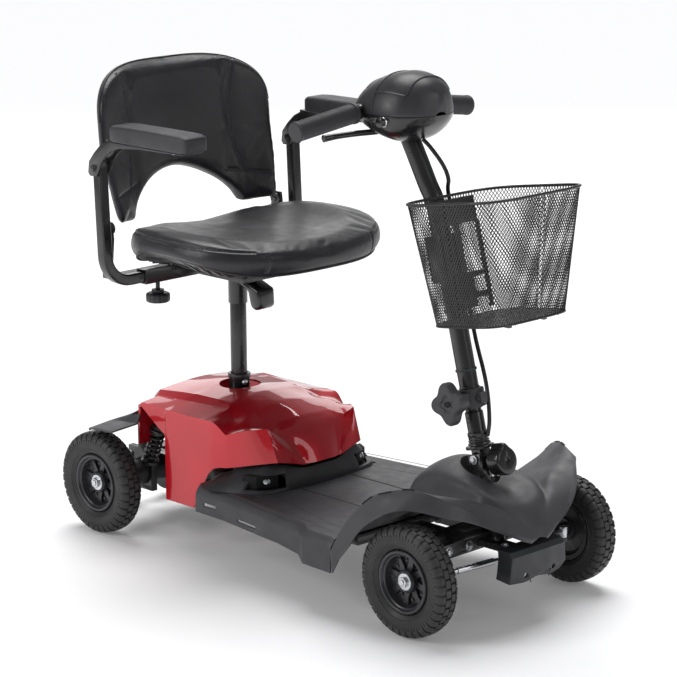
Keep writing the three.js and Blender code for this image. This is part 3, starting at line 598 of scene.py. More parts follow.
tyre = tyre_shape()
rim = rim_shape()
for side, sign in SIDES:
    for end, x, y in (("front", AXLE_X, FRONT_WHEEL_Y), ("rear", -AXLE_X, REAR_WHEEL_Y)):
        at = (x, sign * y, WHEEL_Z, sign < 0)
        wheel = f"wheel_{end}_{side}"
        piece(
            f"tyre_{end}_{side}_treaded", placed(tyre, *at), wheel, TYRE, [f"tyre_{end}_{side}"],
            smooth=30
        )
        piece(
            f"rim_{end}_{side}_ribbed", placed(rim, *at), wheel, RIM, [f"rim_{end}_{side}"],
            bevel=0.5
        )
        piece(f"hub_ring_{end}_{side}", placed(shape(dust_ring()), *at), wheel, CASE)
        holder = wheel if end == "rear" else f"knuckle_{side}"
        piece(
            f"axle_nut_{end}_{side}", placed(axle_end(14 if end == "front" else 40), *at), holder,
            ZINC, bevel=0.5, smooth=30
        )
    stub = placed(shape(rod((0, -86, 0), (0, 6, 0), 10.2)), -AXLE_X, sign * REAR_WHEEL_Y, WHEEL_Z, sign < 0)
    piece(f"half_shaft_{side}", stub, f"wheel_rear_{side}", ZINC)


# ====================================================================
# running gear and frame
# ====================================================================
for side, sign in SIDES:
    hexagon = [(AXLE_X + 10 * math.cos(math.pi / 3 * i), sign * KINGPIN_Y + 10 * math.sin(math.pi / 3 * i))
               for i in range(6)]
    made = shape(
        rod((AXLE_X, sign * KINGPIN_Y, 88), (AXLE_X, sign * KINGPIN_Y, 158), 9),
        rod((AXLE_X, sign * KINGPIN_Y, 88), (AXLE_X, sign * KINGPIN_Y, 112), 15),
        rod((AXLE_X, sign * KINGPIN_Y, WHEEL_Z), (AXLE_X, sign * (FRONT_WHEEL_Y + 9), WHEEL_Z), 8.4),
        rod((AXLE_X, sign * (KINGPIN_Y + 12), WHEEL_Z), (AXLE_X, sign * (FRONT_WHEEL_Y - 13), WHEEL_Z), 12),
        spun([(14, 0), (14, 1.6), (13, 2.2), (0.1, 2.2)], 32, "Z", (AXLE_X, sign * KINGPIN_Y, 154.2)),
        prism(
            [
                (AXLE_X, sign * KINGPIN_Y - 9), (AXLE_X + 34, sign * KINGPIN_Y - 8),
                (AXLE_X + 39, sign * KINGPIN_Y), (AXLE_X + 34, sign * KINGPIN_Y + 8),
                (AXLE_X, sign * KINGPIN_Y + 9)
            ],
            88, 96, "Z"
        ),
    )
    piece(
        f"knuckle_{side}_forged", made, f"knuckle_{side}", ENAMEL, [f"knuckle_{side}"],
        bevel=0.8
    )
    piece(
        f"kingpin_nut_{side}",
        shape(
            prism(hexagon, 155.6, 162, "Z"),
            rod((AXLE_X, sign * KINGPIN_Y, 158), (AXLE_X, sign * KINGPIN_Y, 165), 5.4)
        ),
        f"knuckle_{side}", ZINC, bevel=0.5
    )
    from_cad(f"track_rod_{side}", ZINC, 0.6)
    from_cad(f"antitip_wheel_{side}", TYRE, 0.8)

from_cad("frame_front", ENAMEL, 1.2)
from_cad("frame_rear", ENAMEL, 1.2)
from_cad("transaxle_housing", CASE, 1.5)
from_cad("steering_stem", ENAMEL, 0.8)
from_cad("freewheel_lever", YELLOW, 0.8)
from_cad("battery_pack", CASE, 2.5)

motor = shape(rod((-345.6, 0, 76), (-222, 0, 76), 33, 64))
for i in range(28):
    turn = Matrix.Translation((0, 0, 76)) @ Matrix.Rotation(2 * math.pi * i / 28, 4, "X")
    motor.add(block(-330, -240, -0.9, 0.9, 32, 34.6), turn)
motor.add(rod((-222, 0, 76), (-204, 0, 76), 26, 48)).add(rod((-224, 0, 76), (-219, 0, 76), 33.6, 64))
piece("drive_motor_finned", motor, "chassis", ENAMEL, ["drive_motor"], bevel=0.6)


def hex_bolt(centre, direction, radius=6.0, height=4.0):
    """A bolt head on a washer, standing out along a direction."""
    turn = Vector((0, 0, 1)).rotation_difference(Vector(direction)).to_matrix().to_4x4()
    place = Matrix.Translation(centre) @ turn
    ring = [(radius * math.cos(math.pi / 3 * i), radius * math.sin(math.pi / 3 * i)) for i in range(6)]
    made = Shape()
    made.add(spun([(radius * 1.45, 0), (radius * 1.45, 0.9), (0.1, 0.9)], 28), place)
    made.add(prism(ring, 0.8, height, "Z"), place)
    return made.verts, made.faces


bolts = Shape()
for x in (-120, 0, 120, 236):
    for y in (-40, 40):
        bolts.add(hex_bolt((x, y, 107.8), (0, 0, -1)))
for s in (-1, 1):
    for x in (-425, -375):
        bolts.add(hex_bolt((x, s * 98.2, 122), (0, s, 0)))
    bolts.add(hex_bolt((-385, s * 98.2, 176), (0, s, 0)))
    bolts.add(hex_bolt((AXLE_X + 14.2, s * 70, 128), (1, 0, 0)))
    bolts.add(hex_bolt((AXLE_X + 14.2, s * 118, 128), (1, 0, 0)))
    bolts.add(hex_bolt((465, s * 42, 134.2), (0, 0, 1), 5.0))
piece("frame_bolts", bolts, "chassis", ZINC, bevel=0.35)


def coil_spring(foot, head, radius, wire, turns):
    foot, head = Vector(foot), Vector(head)
    axis = (head - foot)
    turn = Vector((0, 0, 1)).rotation_difference(axis.normalized())
    steps = turns * 20
    path = [
        foot + turn @ Vector(
            (
                radius * math.cos(2 * math.pi * i / 20), radius * math.sin(2 * math.pi * i / 20),
                axis.length * i / steps
            )
        )
        for i in range(steps + 1)
    ]
    return tube(path, circle(wire, 10))


for side, sign in SIDES:
    foot, head = Vector((-352, sign * 112, 128)), Vector((-326, sign * 112, 192))
    along = (head - foot).normalized()
    piece(
        f"rear_spring_{side}", shape(coil_spring(foot + along * 4, head - along * 4, 13, 2.4, 6)),
        "chassis", ENAMEL
    )
    piece(
        f"rear_damper_{side}",
        shape(
            rod(foot, head, 7.5), rod(foot - along * 2, foot + along * 4, 16.5),
            rod(head - along * 4, head + along * 2, 16.5),
            rod((-352, sign * 98.2, 126), (-352, sign * 126, 126), 6),
            rod((-325, sign * 100, 194), (-325, sign * 124, 194), 6),
            block(-358, -346, sign * 105 - 7, sign * 105 + 7, 112, 126),
            block(-345, -305, sign * 112 - 10, sign * 112 + 10, 192, 200),
        ),
        "chassis", ENAMEL, bevel=0.6
    )


# ====================================================================
# floor deck
# ====================================================================
DECK_Z = 137
DECK_FRONT = 246
SKIN = 3.0


def panel(name, rows, body, material, nodes, thickness=SKIN, bevel=0.7, smooth=30, holes=()):
    """A moulded skin that grows inward from a grid of surface points."""
    made = Shape()
    made.add(grid(rows))
    obj = mesh_object(name, made)
    thickened(obj, thickness)
    for hole in holes:
        carved(obj, hole)
    if bevel:
        bevelled(obj, bevel, 2, 50)
    return dressed(obj, body, material, nodes, smooth)


deck_edges = [
    (-150, 179, 88), (-80, 180, 88), (88, 201, 88), (145, 208, 84), (178, 229, 80), (DECK_FRONT, 230, 79)
]
deck_half = [[(x, w, low), (x, w - 0.4, 112), (x, w - 2, 124), (x, w - 12, DECK_Z - 1), (x, w - 17, DECK_Z),
              (x, 120, DECK_Z), (x, 60, DECK_Z), (x, 0, DECK_Z)] for x, w, low in deck_edges]
deck_rows = smooth_grid(both_halves(deck_half), 5, 2, mirrored_columns((2, 4), 7), (1, 2, 3, 4))
slots = [shape(block(-34, -20, s * 143 - 3.2, s * 143 + 3.2, 120, 150)) for s in (-1, 1)]
slots += [shape(block(-128, -96, s * 190 - 20, s * 190 + 20, 103, 109)) for s in (-1, 1)]
slots += [shape(block(-32, 22, s * 190 - 20, s * 190 + 20, 97, 101.5)) for s in (-1, 1)]
panel("floor_deck_moulded", deck_rows, "chassis", MOULDED, ["floor_deck"], holes=slots)

# shallow ribs and seams moulded into the deck
RIB_SECTION = [(-0.8, -0.3), (0.8, -0.3), (0.5, 0.25), (-0.5, 0.25)]
lines = Shape()
for s in (-1, 1):
    for (xa, ya), (xb, yb) in (((-6, 126), (236, 176)), ((-108, 172), (170, 212)), ((120, 190), (240, 150)),
                               ((24, 168), (222, 196))):
        lines.add(tube([(xa, s * ya, DECK_Z + 0.05), (xb, s * yb, DECK_Z + 0.05)], RIB_SECTION))
piece("deck_mould_lines", lines, "chassis", CASE)
seam_section = [(-1.3, -0.3), (1.3, -0.3), (1.3, 0.2), (-1.3, 0.2)]
seam = shape(*[tube([(0, y, DECK_Z + 0.1), (244, y, DECK_Z + 0.1)], seam_section) for y in (62, -62)])
piece("deck_seams", seam, "chassis", SEAM_AND_SHADE)


# ====================================================================
# front cowl and bumper
# ====================================================================
# Each row runs from the arch's edge over the fender's ridge and the valley to the hump's middle line.
COWL = [
    [
        (250, 230, 80), (246.3, 230, 116), (246.3, 205, 137), (246.3, 85, 137), (246.3, 60, 137),
        (246.3, 0, 137)
    ],
    [(266, 230, 108), (268, 229, 156), (272, 195, 153), (262, 85, 152), (258, 60, 178), (257, 0, 186)],
    [(290, 230, 136), (294, 227, 190), (296, 188, 179), (288, 84, 166), (276, 58, 212), (272, 0, 224)],
    [(316, 230, 169), (334, 222, 228), (330, 176, 207), (322, 82, 184), (306, 58, 228), (304, 0, 246)],
    [(358, 229, 201), (361, 209, 240), (362, 165, 219), (358, 80, 194), (345, 58, 233), (340, 0, 252)],
    [(390, 220, 217), (389, 188, 246), (396, 148, 224), (392, 78, 199), (385, 58, 231), (380, 0, 236)],
    [(414, 195, 214), (418, 174, 240), (420, 124, 224), (418, 75, 203), (415, 58, 226), (412, 0, 219)],
    [(447, 158, 201), (443, 158, 229), (440, 100, 219), (436, 72, 205), (438, 56, 219), (438, 0, 210)],
    [(463, 126, 191), (467, 135, 214), (459, 82, 208), (455, 62, 202), (457, 48, 210), (459, 0, 204)],
    [(479, 92, 175), (486, 110, 195), (476, 64, 194), (472, 48, 193), (473, 36, 199), (475, 0, 197)],
    [(491, 62, 160), (497, 78, 173), (489, 42, 177), (487, 30, 178), (487, 20, 182), (488, 0, 183)],
    [(501, 36, 147), (503, 42, 157), (501, 22, 159), (500, 15, 161), (500, 8, 163), (500, 0, 164)],
    [(505, 20, 141), (507, 14, 145), (507, 10, 146), (506.5, 7, 147), (506, 3, 148), (506, 0, 148)],
]
cowl_rows = smooth_grid(both_halves(COWL), 5, 6, mirrored_columns((1,), 5), (1,))
stem_hole = shape(rod((388, 0, 175), (353, 0, 305), 31, 48))
panel(
    "front_cowl_moulded", cowl_rows, "chassis", MOULDED, ["front_cowl"], bevel=0.8,
    holes=[stem_hole]
)

ridge = spline([row[1] for row in COWL], 12)
for side, sign in SIDES:
    strips = Shape()
    for first, last in ((0.215, 0.262), (0.285, 0.35), (0.39, 0.44)):
        a, b = int(first * len(ridge)), int(last * len(ridge))
        path = [Vector((p.x, sign * p.y, p.z - 0.3)) for p in ridge[a:b + 1]]
        strips.add(tube(path, [(-1.6, -0.6), (1.6, -0.6), (1.6, 0.9), (-1.6, 0.9)]))
    piece(f"cowl_ridge_strip_{side}", strips, "chassis", SEAM_AND_SHADE)

BUMPER = [
    [(470, 66, 133), (471, 64, 134), (471, 30, 135), (471, 0, 135)],
    [(472, 66, 130), (496, 64, 132), (500, 30, 133.5), (501, 0, 134)],
    [(474, 67, 120), (503, 65, 124), (507, 30, 126), (507.5, 0, 126)],
    [(474, 70, 96), (502, 68, 92), (506, 30, 89), (507, 0, 89)],
    [(472, 70, 84), (494, 62, 77), (500, 30, 76), (500, 0, 80)],
]
bumper_rows = smooth_grid(both_halves(BUMPER), 6, 6, mirrored_columns((1,), 3), (1, 2, 3))
bumper_holes = [shape(rod((480, s * 34, 90), (520, s * 34, 90), 4.6)) for s in (-1, 1)]
panel("front_bumper_moulded", bumper_rows, "chassis", CASE, ["front_bumper"], thickness=4,
      bevel=1.8, holes=bumper_holes)
lip = shape(*[tube([(506.6, s * 27, 88), (505.4, s * 22, 76)], circle(1.1, 8)) for s in (-1, 1)])
piece("bumper_ribs", lip, "chassis", MOULDED)


# ====================================================================
# rear fender and red shroud
# ====================================================================
FENDER = [
    [(-335, 215, 206), (-330, 160, 212), (-330, 142, 238), (-330, 100, 244)],
    [(-366, 215, 205), (-366, 160, 209), (-350, 142, 228), (-350, 100, 236)],
    [(-402, 213, 200), (-402, 160, 205), (-380, 142, 214), (-372, 100, 214)],
    [(-406, 211, 196), (-406, 160, 201), (-398, 142, 207), (-392, 100, 207)],
]
for side, sign in SIDES:
    rows = smooth_grid([[(x, sign * y, z) for x, y, z in row] for row in FENDER], 4, 5, (1,), (2,))
    if sign > 0:
        rows = rows[::-1]
    made = Shape()
    made.add(grid(rows))
    obj = mesh_object(f"rear_fender_{side}_moulded", made)
    thickened(obj, SKIN)
    carved(obj, shape(block(-352, -300, -151.5, 151.5, 160, 300)))
    carved(obj, shape(block(-420, -300, *sorted((sign * 120, -sign * 300)), 150, 300)))
    bevelled(obj, 0.7, 2, 50)
    dressed(obj, "chassis", MOULDED, [f"rear_fender_{side}"], 30)

# Each row runs from the skin's lower edge over the outer ridge, the shelf and the step to the middle line.
SHROUD = [
    [(-336, 150, 170), (-338, 128, 170), (-340, 110, 170), (-341, 96, 170), (-342, 45, 170), (-342, 0, 170)],
    [
        (-336, 150, 237), (-337, 149.5, 243), (-338, 112, 247), (-350, 96, 252), (-350, 45, 254),
        (-350, 0, 255)
    ],
    [(-326, 151, 243), (-324, 150, 251), (-324, 112, 256), (-338, 96, 262), (-338, 45, 267), (-338, 0, 269)],
    [(-285, 151, 215), (-285, 151, 250), (-285, 110, 258), (-285, 93, 267), (-285, 45, 273), (-285, 0, 276)],
    [(-261, 152, 202), (-258, 151, 250), (-255, 107, 259), (-250, 91, 269), (-250, 45, 275), (-250, 0, 278)],
    [(-259, 154, 82), (-256, 152, 250), (-250, 106, 259), (-244, 90.5, 270), (-244, 45, 275), (-244, 0, 278)],
    [(-183, 154, 82), (-186, 152, 250), (-186, 102, 261), (-186, 87, 270), (-186, 44, 275), (-186, 0, 278)],
    [(-164, 152, 123), (-150, 152, 251), (-148, 99, 261), (-158, 83, 268), (-158, 42, 273), (-156, 0, 276)],
    [(-136, 150, 162), (-127, 151, 249), (-128, 106, 250), (-132, 79, 261), (-134, 40, 269), (-134, 0, 272)],
    [(-99, 141, 171), (-104, 146, 231), (-98, 112, 247), (-104, 74, 256), (-106, 37, 264), (-106, 0, 267)],
    [(-52, 124, 182), (-70, 128, 242), (-66, 100, 241), (-81, 68, 251), (-82, 34, 256), (-82, 0, 259)],
    [(-16, 102, 189), (-38, 106, 247), (-44, 88, 236), (-60, 62, 245), (-56, 31, 247), (-56, 0, 249)],
    [(-13, 78, 184), (-24, 90, 222), (-33, 72, 222), (-39, 56, 233), (-34, 28, 231), (-34, 0, 233)],
    [(-10, 58, 179), (-16, 64, 200), (-21, 58, 202), (-24, 49, 206), (-16, 25, 205), (-14, 0, 207)],
    [(-9, 43, 175), (-9, 42, 175.5), (-9, 42, 176), (-9, 41, 176.5), (-3, 20, 177), (-1, 0, 178)],
]
shroud_rows = smooth_grid(
    both_halves(SHROUD), 5, 6, mirrored_columns((1, 2, 3), 5), (1, 2, 4, 5, 6, 7, 9, 11)
)
post_hole = shape(rod((POST_X + 2, 0, 230), (POST_X + 2, 0, 300), 38.5, 64))
panel(
    "rear_shroud_lacquered", shroud_rows, "chassis", RED, ["rear_shroud"], bevel=0, smooth=17,
    holes=[post_hole]
)


# ====================================================================
# battery case
# ====================================================================
FOOT = [(-150, 166), (-116, 186), (-78, 172), (-42, 153), (-12, 125), (-3, 60), (0, 0)]
BROW = [
    (-148, 141, 139), (-124, 140, 156), (-90, 131, 168), (-61, 117, 177), (-34, 99, 184), (-13, 48, 170),
    (-10, 0, 169)
]


def case_ring(points, share, lift):
    fine = spline(points, 8)
    half = [Vector((-110 + (p.x + 110) * share, p.y * share, p.z + lift)) for p in fine]
    return half + [Vector((p.x, -p.y, p.z)) for p in reversed(half[:-1])]


foot3 = [(x, y, DECK_Z + 0.3) for x, y in FOOT]
mid3 = [((a[0] * 0.5 + b[0] * 0.5) + 1.5, a[1] * 0.5 + b[1] * 0.5 + 3, a[2] * 0.5 + b[2] * 0.5 + 1)
        for a, b in zip(foot3, BROW)]
mid3[-1] = (mid3[-1][0], 0, mid3[-1][2])
case = shape(
    loft(
        [
            case_ring(foot3, 1, 0), case_ring(mid3, 1, 0), case_ring(BROW, 1, 0),
            case_ring(BROW, 0.94, -0.5), case_ring(foot3, 0.955, 1.0)
        ],
        closed=True
    )
)
recess_tools = [
    shape(
        prism([(-52, s * 108), (-18, s * 84), (20, s * 104), (-14, s * 150), (-50, s * 162)], 143, 166, "Z")
    )
    for s in (-1, 1)
]
case_obj = mesh_object("battery_case_moulded", case)
outward(case_obj)
for tool in recess_tools:
    carved(case_obj, tool)
bevelled(case_obj, 0.8, 2, 40)
dressed(case_obj, "chassis", CASE, ["battery_case"], 34)
for side, s in SIDES:
    # A near-black block in the carved recess on each side of the case: painted shade for the inside of the
    # recess.
    recess_shade_block = shape(
        prism([(-60, s * 112), (-26, s * 92), (-21, s * 97), (-38, s * 134), (-62, s * 146)], 142, 166, "Z")
    )
    piece(f"case_recess_painted_shade_{side}", recess_shade_block, "chassis", SEAM_AND_SHADE, bevel=1.0)
    out = Vector((0.62, s * 0.76, 0.2)).normalized()
    start = Vector((-35, s * 112, 153))
    turn = Vector((0, 0, 1)).rotation_difference(out).to_matrix().to_4x4()
    lock = Shape()
    lock.add(spun([(7.5, 0), (7.5, 5), (6.6, 6.2), (5.0, 6.6), (5.0, 10), (4.2, 11.2), (0.1, 11.4)], 28),
             Matrix.Translation(start) @ turn)
    piece(f"case_latch_{side}", lock, "chassis", ZINC, bevel=0.3)


# ====================================================================
# seat post
# ====================================================================
receiver = shape(
    lathe(
        [(15.8, 137), (19, 137), (19, 288), (20.8, 289), (20.8, 296), (20, 297), (15.8, 297)], 64, "Z",
        (POST_X, 0, 0)
    ),
    block(POST_X - 32, POST_X - 17, -30, 30, 136.4, 146),
    block(POST_X + 17, POST_X + 32, -30, 30, 136.4, 146)
)
piece(
    "seat_post_receiver_turned", receiver, "chassis", ENAMEL, ["seat_post_receiver"],
    bevel=0.5
)
piece(
    "receiver_pin",
    shape(
        spun(
            [(5.2, 0), (5.2, 4), (4.4, 5.4), (2.4, 6.0), (0.1, 6.2)], 24, "Z", (POST_X + 19.6, -6, 283),
            (1, -0.25, 0)
        )
    ),
    "chassis", ZINC
)
post = shape(spun([(13.5, 145), (15, 147), (15, 468), (14, 470)], 64, "Z", (POST_X, 0, 0)))
for z in (318, 343, 368, 393):
    carved_hole = rod((POST_X + 12, 0, z), (POST_X + 15.15, 0, z), 3.4)
    post.add(carved_hole)
piece("seat_post_turned", post, "seat_post", ENAMEL, ["seat_post"])


# ====================================================================
# upholstery
# ====================================================================
def seat_ring(scale, height, count=144):
    """One level of the seat: a rounded square, wider towards the front and straighter at the rear."""
    power = 2 / 2.6
    ring = []
    for i in range(count):
        t = 2 * math.pi * i / count
        u = math.copysign(abs(math.cos(t)) ** power, math.cos(t))
        v = math.copysign(abs(math.sin(t)) ** power, math.sin(t))
        s = abs(math.sin(t))
        x = -185 + 196 * scale * u + 24 * scale * max(0.0, -u) * (1 - s * s)
        ring.append(Vector((x, 218 * scale * v * (1 + 0.05 * u), height(u, s))))
    return ring


def seat_low(u, s):
    """The lower edge of the cushion: arched up at the sides and down at the rear corners."""
    return 524 + 26 * s ** 4 - 34 * max(0.0, -u) ** 2.5 * (0.5 + 0.5 * s)


def wall_at(share):
    return lambda u, s: seat_low(u, s) + (562 - seat_low(u, s)) * share


def crown(z, lift, sag=12):
    """The top of the cushion: higher along the sides and sagging towards the rear edge's middle."""
    return lambda u, s: z + lift * s ** 1.5 - sag * max(0.0, -u) ** 1.5 * (1 - s)


SEAT_LEVELS = [
    seat_ring(0.90, wall_at(-0.02)), seat_ring(0.945, wall_at(0.03)), seat_ring(0.985, wall_at(0.3)),
    seat_ring(1.0, wall_at(0.68)), seat_ring(0.985, crown(562, 9)), seat_ring(0.95, crown(568, 15)),
    seat_ring(0.88, crown(571, 16)), seat_ring(0.76, crown(571.5, 12, 9)),
    seat_ring(0.55, crown(569.5, 4, 5)), seat_ring(0.28, crown(568, 0, 0)),
    seat_ring(0.04, crown(568, 0, 0)),
]


def levelled(rings, steps):
    """Rings between the given ones, so that the section becomes a smooth curve."""
    columns = [spline([ring[j] for ring in rings], steps) for j in range(len(rings[0]))]
    return [[c[i] for c in columns] for i in range(len(columns[0]))]


def surface_tree(obj):
    return BVHTree.FromObject(obj, bpy.context.evaluated_depsgraph_get())


def laid(tree, points, direction):
    """Points dropped onto a surface along a direction, with the surface's normal at each."""
    found = []
    aim = Vector(direction).normalized()
    for p in points:
        spot, normal, _, _ = tree.ray_cast(Vector(p) * MM - aim * 0.3, aim)
        if spot is not None:
            found.append((spot / MM, normal if normal.dot(aim) < 0 else -normal))
    return found


def closest(tree, points):
    """The nearest points of a surface, with its normals."""
    found = []
    for p in points:
        spot, normal, _, _ = tree.find_nearest(Vector(p) * MM)
        found.append((spot / MM, normal))
    return found


COVER_CLOTH = {
    "quality": 5, "mass": 0.35, "tension_stiffness": 12, "compression_stiffness": 12, "shear_stiffness": 5,
    "bending_stiffness": 0.6, "use_pressure": True, "vertex_group_mass": "held", "pin_stiffness": 1.0,
}
SETTLING_FRAMES = 20
# Millimetres from a seam: held fully up to the first, then less and less over the second.
HELD_FULLY, HELD_LESS = 2.0, 5.0


def swollen(obj, seams, fixed, voxel, pressure, cap):
    """Fills a cushion as cloth with its seams held down, and no point moving further than cap."""
    mod = obj.modifiers.new("remesh", "REMESH")
    mod.mode = "VOXEL"
    mod.voxel_size = voxel * MM
    applied(obj)
    mesh = obj.data
    start = [v.co.copy() for v in mesh.vertices]
    held = obj.vertex_groups.new(name="held")
    for i, p in enumerate(start):
        near = min(((p - q * MM).length for q in seams), default=1.0)
        weight = 1.0 if fixed(p / MM) else max(0.0, 1 - max(near / MM - HELD_FULLY, 0) / HELD_LESS)
        if weight > 0:
            held.add([i], weight, "REPLACE")
    cloth = obj.modifiers.new("cloth", "CLOTH")
    for setting, value in COVER_CLOTH.items():
        setattr(cloth.settings, setting, value)
    cloth.settings.uniform_pressure_force = pressure
    cloth.settings.effector_weights.gravity = 0.0
    cloth.collision_settings.use_collision = False
    scene = bpy.context.scene
    for number in range(1, SETTLING_FRAMES + 1):
        scene.frame_set(number)
    graph = bpy.context.evaluated_depsgraph_get()
    moved = [v.co.copy() for v in obj.evaluated_get(graph).data.vertices]
    obj.modifiers.clear()
    scene.frame_set(1)
    for vertex, before, after in zip(mesh.vertices, start, moved):
        step = after - before
        if step.length > cap * MM:
            step *= cap * MM / step.length
        vertex.co = before + step
    obj.vertex_groups.clear()
    smoother = obj.modifiers.new("smooth", "SMOOTH")
    smoother.factor = 0.5
    smoother.iterations = 3
    fine = obj.modifiers.new("fine", "SUBSURF")
    fine.levels = fine.render_levels = 1
    return applied(obj)


def channelled(obj, seams, depth, width):
    """Presses a narrow channel into a surface along its seams."""
    normals = [v.normal.copy() for v in obj.data.vertices]
    reach = width * 2.5 * MM
    cells = {}
    for q in seams:
        cell = tuple(int(math.floor(c * MM / reach)) for c in q)
        cells.setdefault(cell, []).append(q * MM)
    for vertex, normal in zip(obj.data.vertices, normals):
        cell = tuple(int(math.floor(c / reach)) for c in vertex.co)
        best = reach
        for step in product((-1, 0, 1), repeat=3):
            for q in cells.get(tuple(c + d for c, d in zip(cell, step)), ()):
                best = min(best, (vertex.co - q).length)
        if best < reach:
            vertex.co -= normal * depth * MM * math.exp(-(best / (width * MM)) ** 2)


# A stitch goes into the cover at both ends and stands a little proud between them: [ahead, lift].
STITCH_ARC = ((-1.45, -0.25), (-0.7, 0.22), (0.7, 0.22), (1.45, -0.25))
THREAD_RADIUS = 0.42


def stitched(name, tree, runs, body, gap=2.6, pitch=4.2):
    """Two rows of stitches beside each seam, lying on the surface."""
    made = Shape()
    for run in runs:
        length = 0.0
        for (a, na), (b, nb) in zip(run, run[1:]):
            step = (b - a).length
            along = (b - a).normalized() if step else Vector((1, 0, 0))
            normal = (na + nb).normalized()
            across = along.cross(normal).normalized()
            while length < step:
                for side in (-1, 1):
                    middle = a + along * length + across * side * gap
                    spot, facing, _, _ = tree.find_nearest(middle * MM)
                    spot = spot / MM
                    ends = [spot + along * ahead + facing * lift for ahead, lift in STITCH_ARC]
                    made.add(tube(ends, circle(THREAD_RADIUS, 6), [0.5, 1, 1, 0.5]))
                length += pitch
            length -= step
    return piece(name, made, body, THREAD)


def even_run(points, spacing=2.0):
    """The same curve with evenly spaced points."""
    out = [Vector(points[0])]
    for a, b in zip(points, points[1:]):
        a, b = Vector(a), Vector(b)
        count = max(1, int((b - a).length / spacing))
        out += [a + (b - a) * ((k + 1) / count) for k in range(count)]
    return out


# ---------- seat cushion ----------
seat_rings = levelled(SEAT_LEVELS, 4)
seat = mesh_object("seat_cushion_sewn", shape(loft(seat_rings)))
outward(seat)
seat_base = surface_tree(seat)
seat_seams = []
for sign in (-1, 1):
    top = [
        (-352, sign * 168, 0), (-318, sign * 160, 0), (-262, sign * 136, 0), (-200, sign * 114, 0),
        (-137, sign * 106, 0), (-70, sign * 112, 0), (-24, sign * 121, 0), (-8, sign * 125, 0)
    ]
    run = [p for p, _ in laid(seat_base, even_run(spline(top, 8)), (0, 0, -1))]
    front = [(60, sign * 126, z) for z in range(566, 530, -3)]
    run += [p for p, _ in laid(seat_base, front, (-1, 0, 0))]
    seat_seams.append(run)
    band_ring = [p for p in seat_rings[18] if sign * p.y > 0 and -330 < p.x < -20 and sign * p.y > 118]
    band_ring.sort(key=lambda p: p.x)
    seat_seams.append([p for p, _ in closest(seat_base, even_run(band_ring))])
seam_points = [p for run in seat_seams for p in run]


def under_seat(p):
    """True on the cushion's underside and its lower edge."""
    return p.z < 528 + 26 * (p.y / 218) ** 4 - 20 * max(0.0, (-185 - p.x) / 196) ** 2.5


swollen(seat, seam_points, under_seat, 4.4, 2.4, 5.0)
channelled(seat, seam_points, 3.0, 2.6)
dressed(seat, "seat", LEATHER, ["seat_cushion"], 80)
seat_tree = surface_tree(seat)
stitched("seat_stitching", seat_tree, [closest(seat_tree, run) for run in seat_seams], "seat")
welt_ring = seat_ring(0.952, lambda u, s: seat_low(u, s) + 1.5, 160)
welt_rings = []
for i, p in enumerate(welt_ring):
    outwards = (p - Vector((-185, 0, p.z))).normalized()
    welt_rings.append(
        [
            p + outwards * (2.3 * math.cos(2 * math.pi * k / 10)) + Vector(
                (0, 0, 2.3 * math.sin(2 * math.pi * k / 10))
            )
            for k in range(10)
        ]
    )
piece("seat_welt", shape(loft(welt_rings, closed=True)), "seat", WELT)

# ---------- seat pan ----------
def below_edge(drop):
    return lambda u, s: seat_low(u, s) - drop


def level(z):
    return lambda u, s: z


pan = shape(
    loft(
        [
            seat_ring(0.30, level(498.7)), seat_ring(0.36, level(498.7)), seat_ring(0.38, level(502)),
            seat_ring(0.60, level(513)), seat_ring(0.78, below_edge(6)), seat_ring(0.88, below_edge(1.2)),
            seat_ring(0.88, below_edge(0.6))
        ]
    )
)
RIBS = 36
for i in range(RIBS):
    spokes = [seat_ring(0.37, level(500.5), RIBS)[i], seat_ring(0.60, level(511.5), RIBS)[i],
              seat_ring(0.86, below_edge(3), RIBS)[i]]
    pan.add(tube(spokes, [(-1.3, -2.5), (1.3, -2.5), (1.3, 2.5), (-1.3, 2.5)]))
piece("seat_pan_ribbed", pan, "seat", CASE, ["seat_pan"], bevel=0.5)

# ---------- backrest cushion ----------
BACK_W = 203


def back_outline(f, share):
    """Height and half width of the backrest, f from -1 to 1 across it and share from its arch to its top."""
    arch = 76 * (1 - abs(f / 0.70) ** 1.8) ** 0.7 if abs(f) < 0.70 else 0
    low = 578 + arch + 26 * max(0.0, abs(f) - 0.70)
    high = 738 + 119 * (1 - abs(f) ** 3.2) ** (1 / 3.2)
    z = low + (high - low) * share
    y = f * (BACK_W - 14 + 14 * math.sin(min((z - 592) / 140, 1) * math.pi / 2))
    return y, z


def back_front(f, z):
    return -385 + 48 * f * f - 0.07 * (z - 592) + 22 * f * f * max(0.0, 1 - (z - 592) / 130)


def rounded_edge(inset, radius=12):
    """The share of full thickness at a distance in from the edge."""
    return math.sqrt(1 - max(0.0, 1 - inset / radius) ** 2)


def back_grid(face, across=96, up=56):
    """The front (face 1) or rear (face -1) skin of the cushion, which meet at its edge."""
    rows = []
    for i in range(up + 1):
        share = 0.5 - 0.5 * math.cos(math.pi * i / up)
        row = []
        for j in range(across + 1):
            f = -math.cos(math.pi * j / across)
            y, z = back_outline(f, share)
            thick = 20 + 26 * (1 - abs(f) ** 2.5)
            height = back_outline(f, 1)[1] - back_outline(f, 0)[1]
            edge = rounded_edge((1 - abs(f)) * BACK_W) * rounded_edge(min(share, 1 - share) * height)
            row.append(Vector((back_front(f, z) - thick / 2 + face * thick / 2 * edge, y, z)))
        rows.append(row)
    return rows


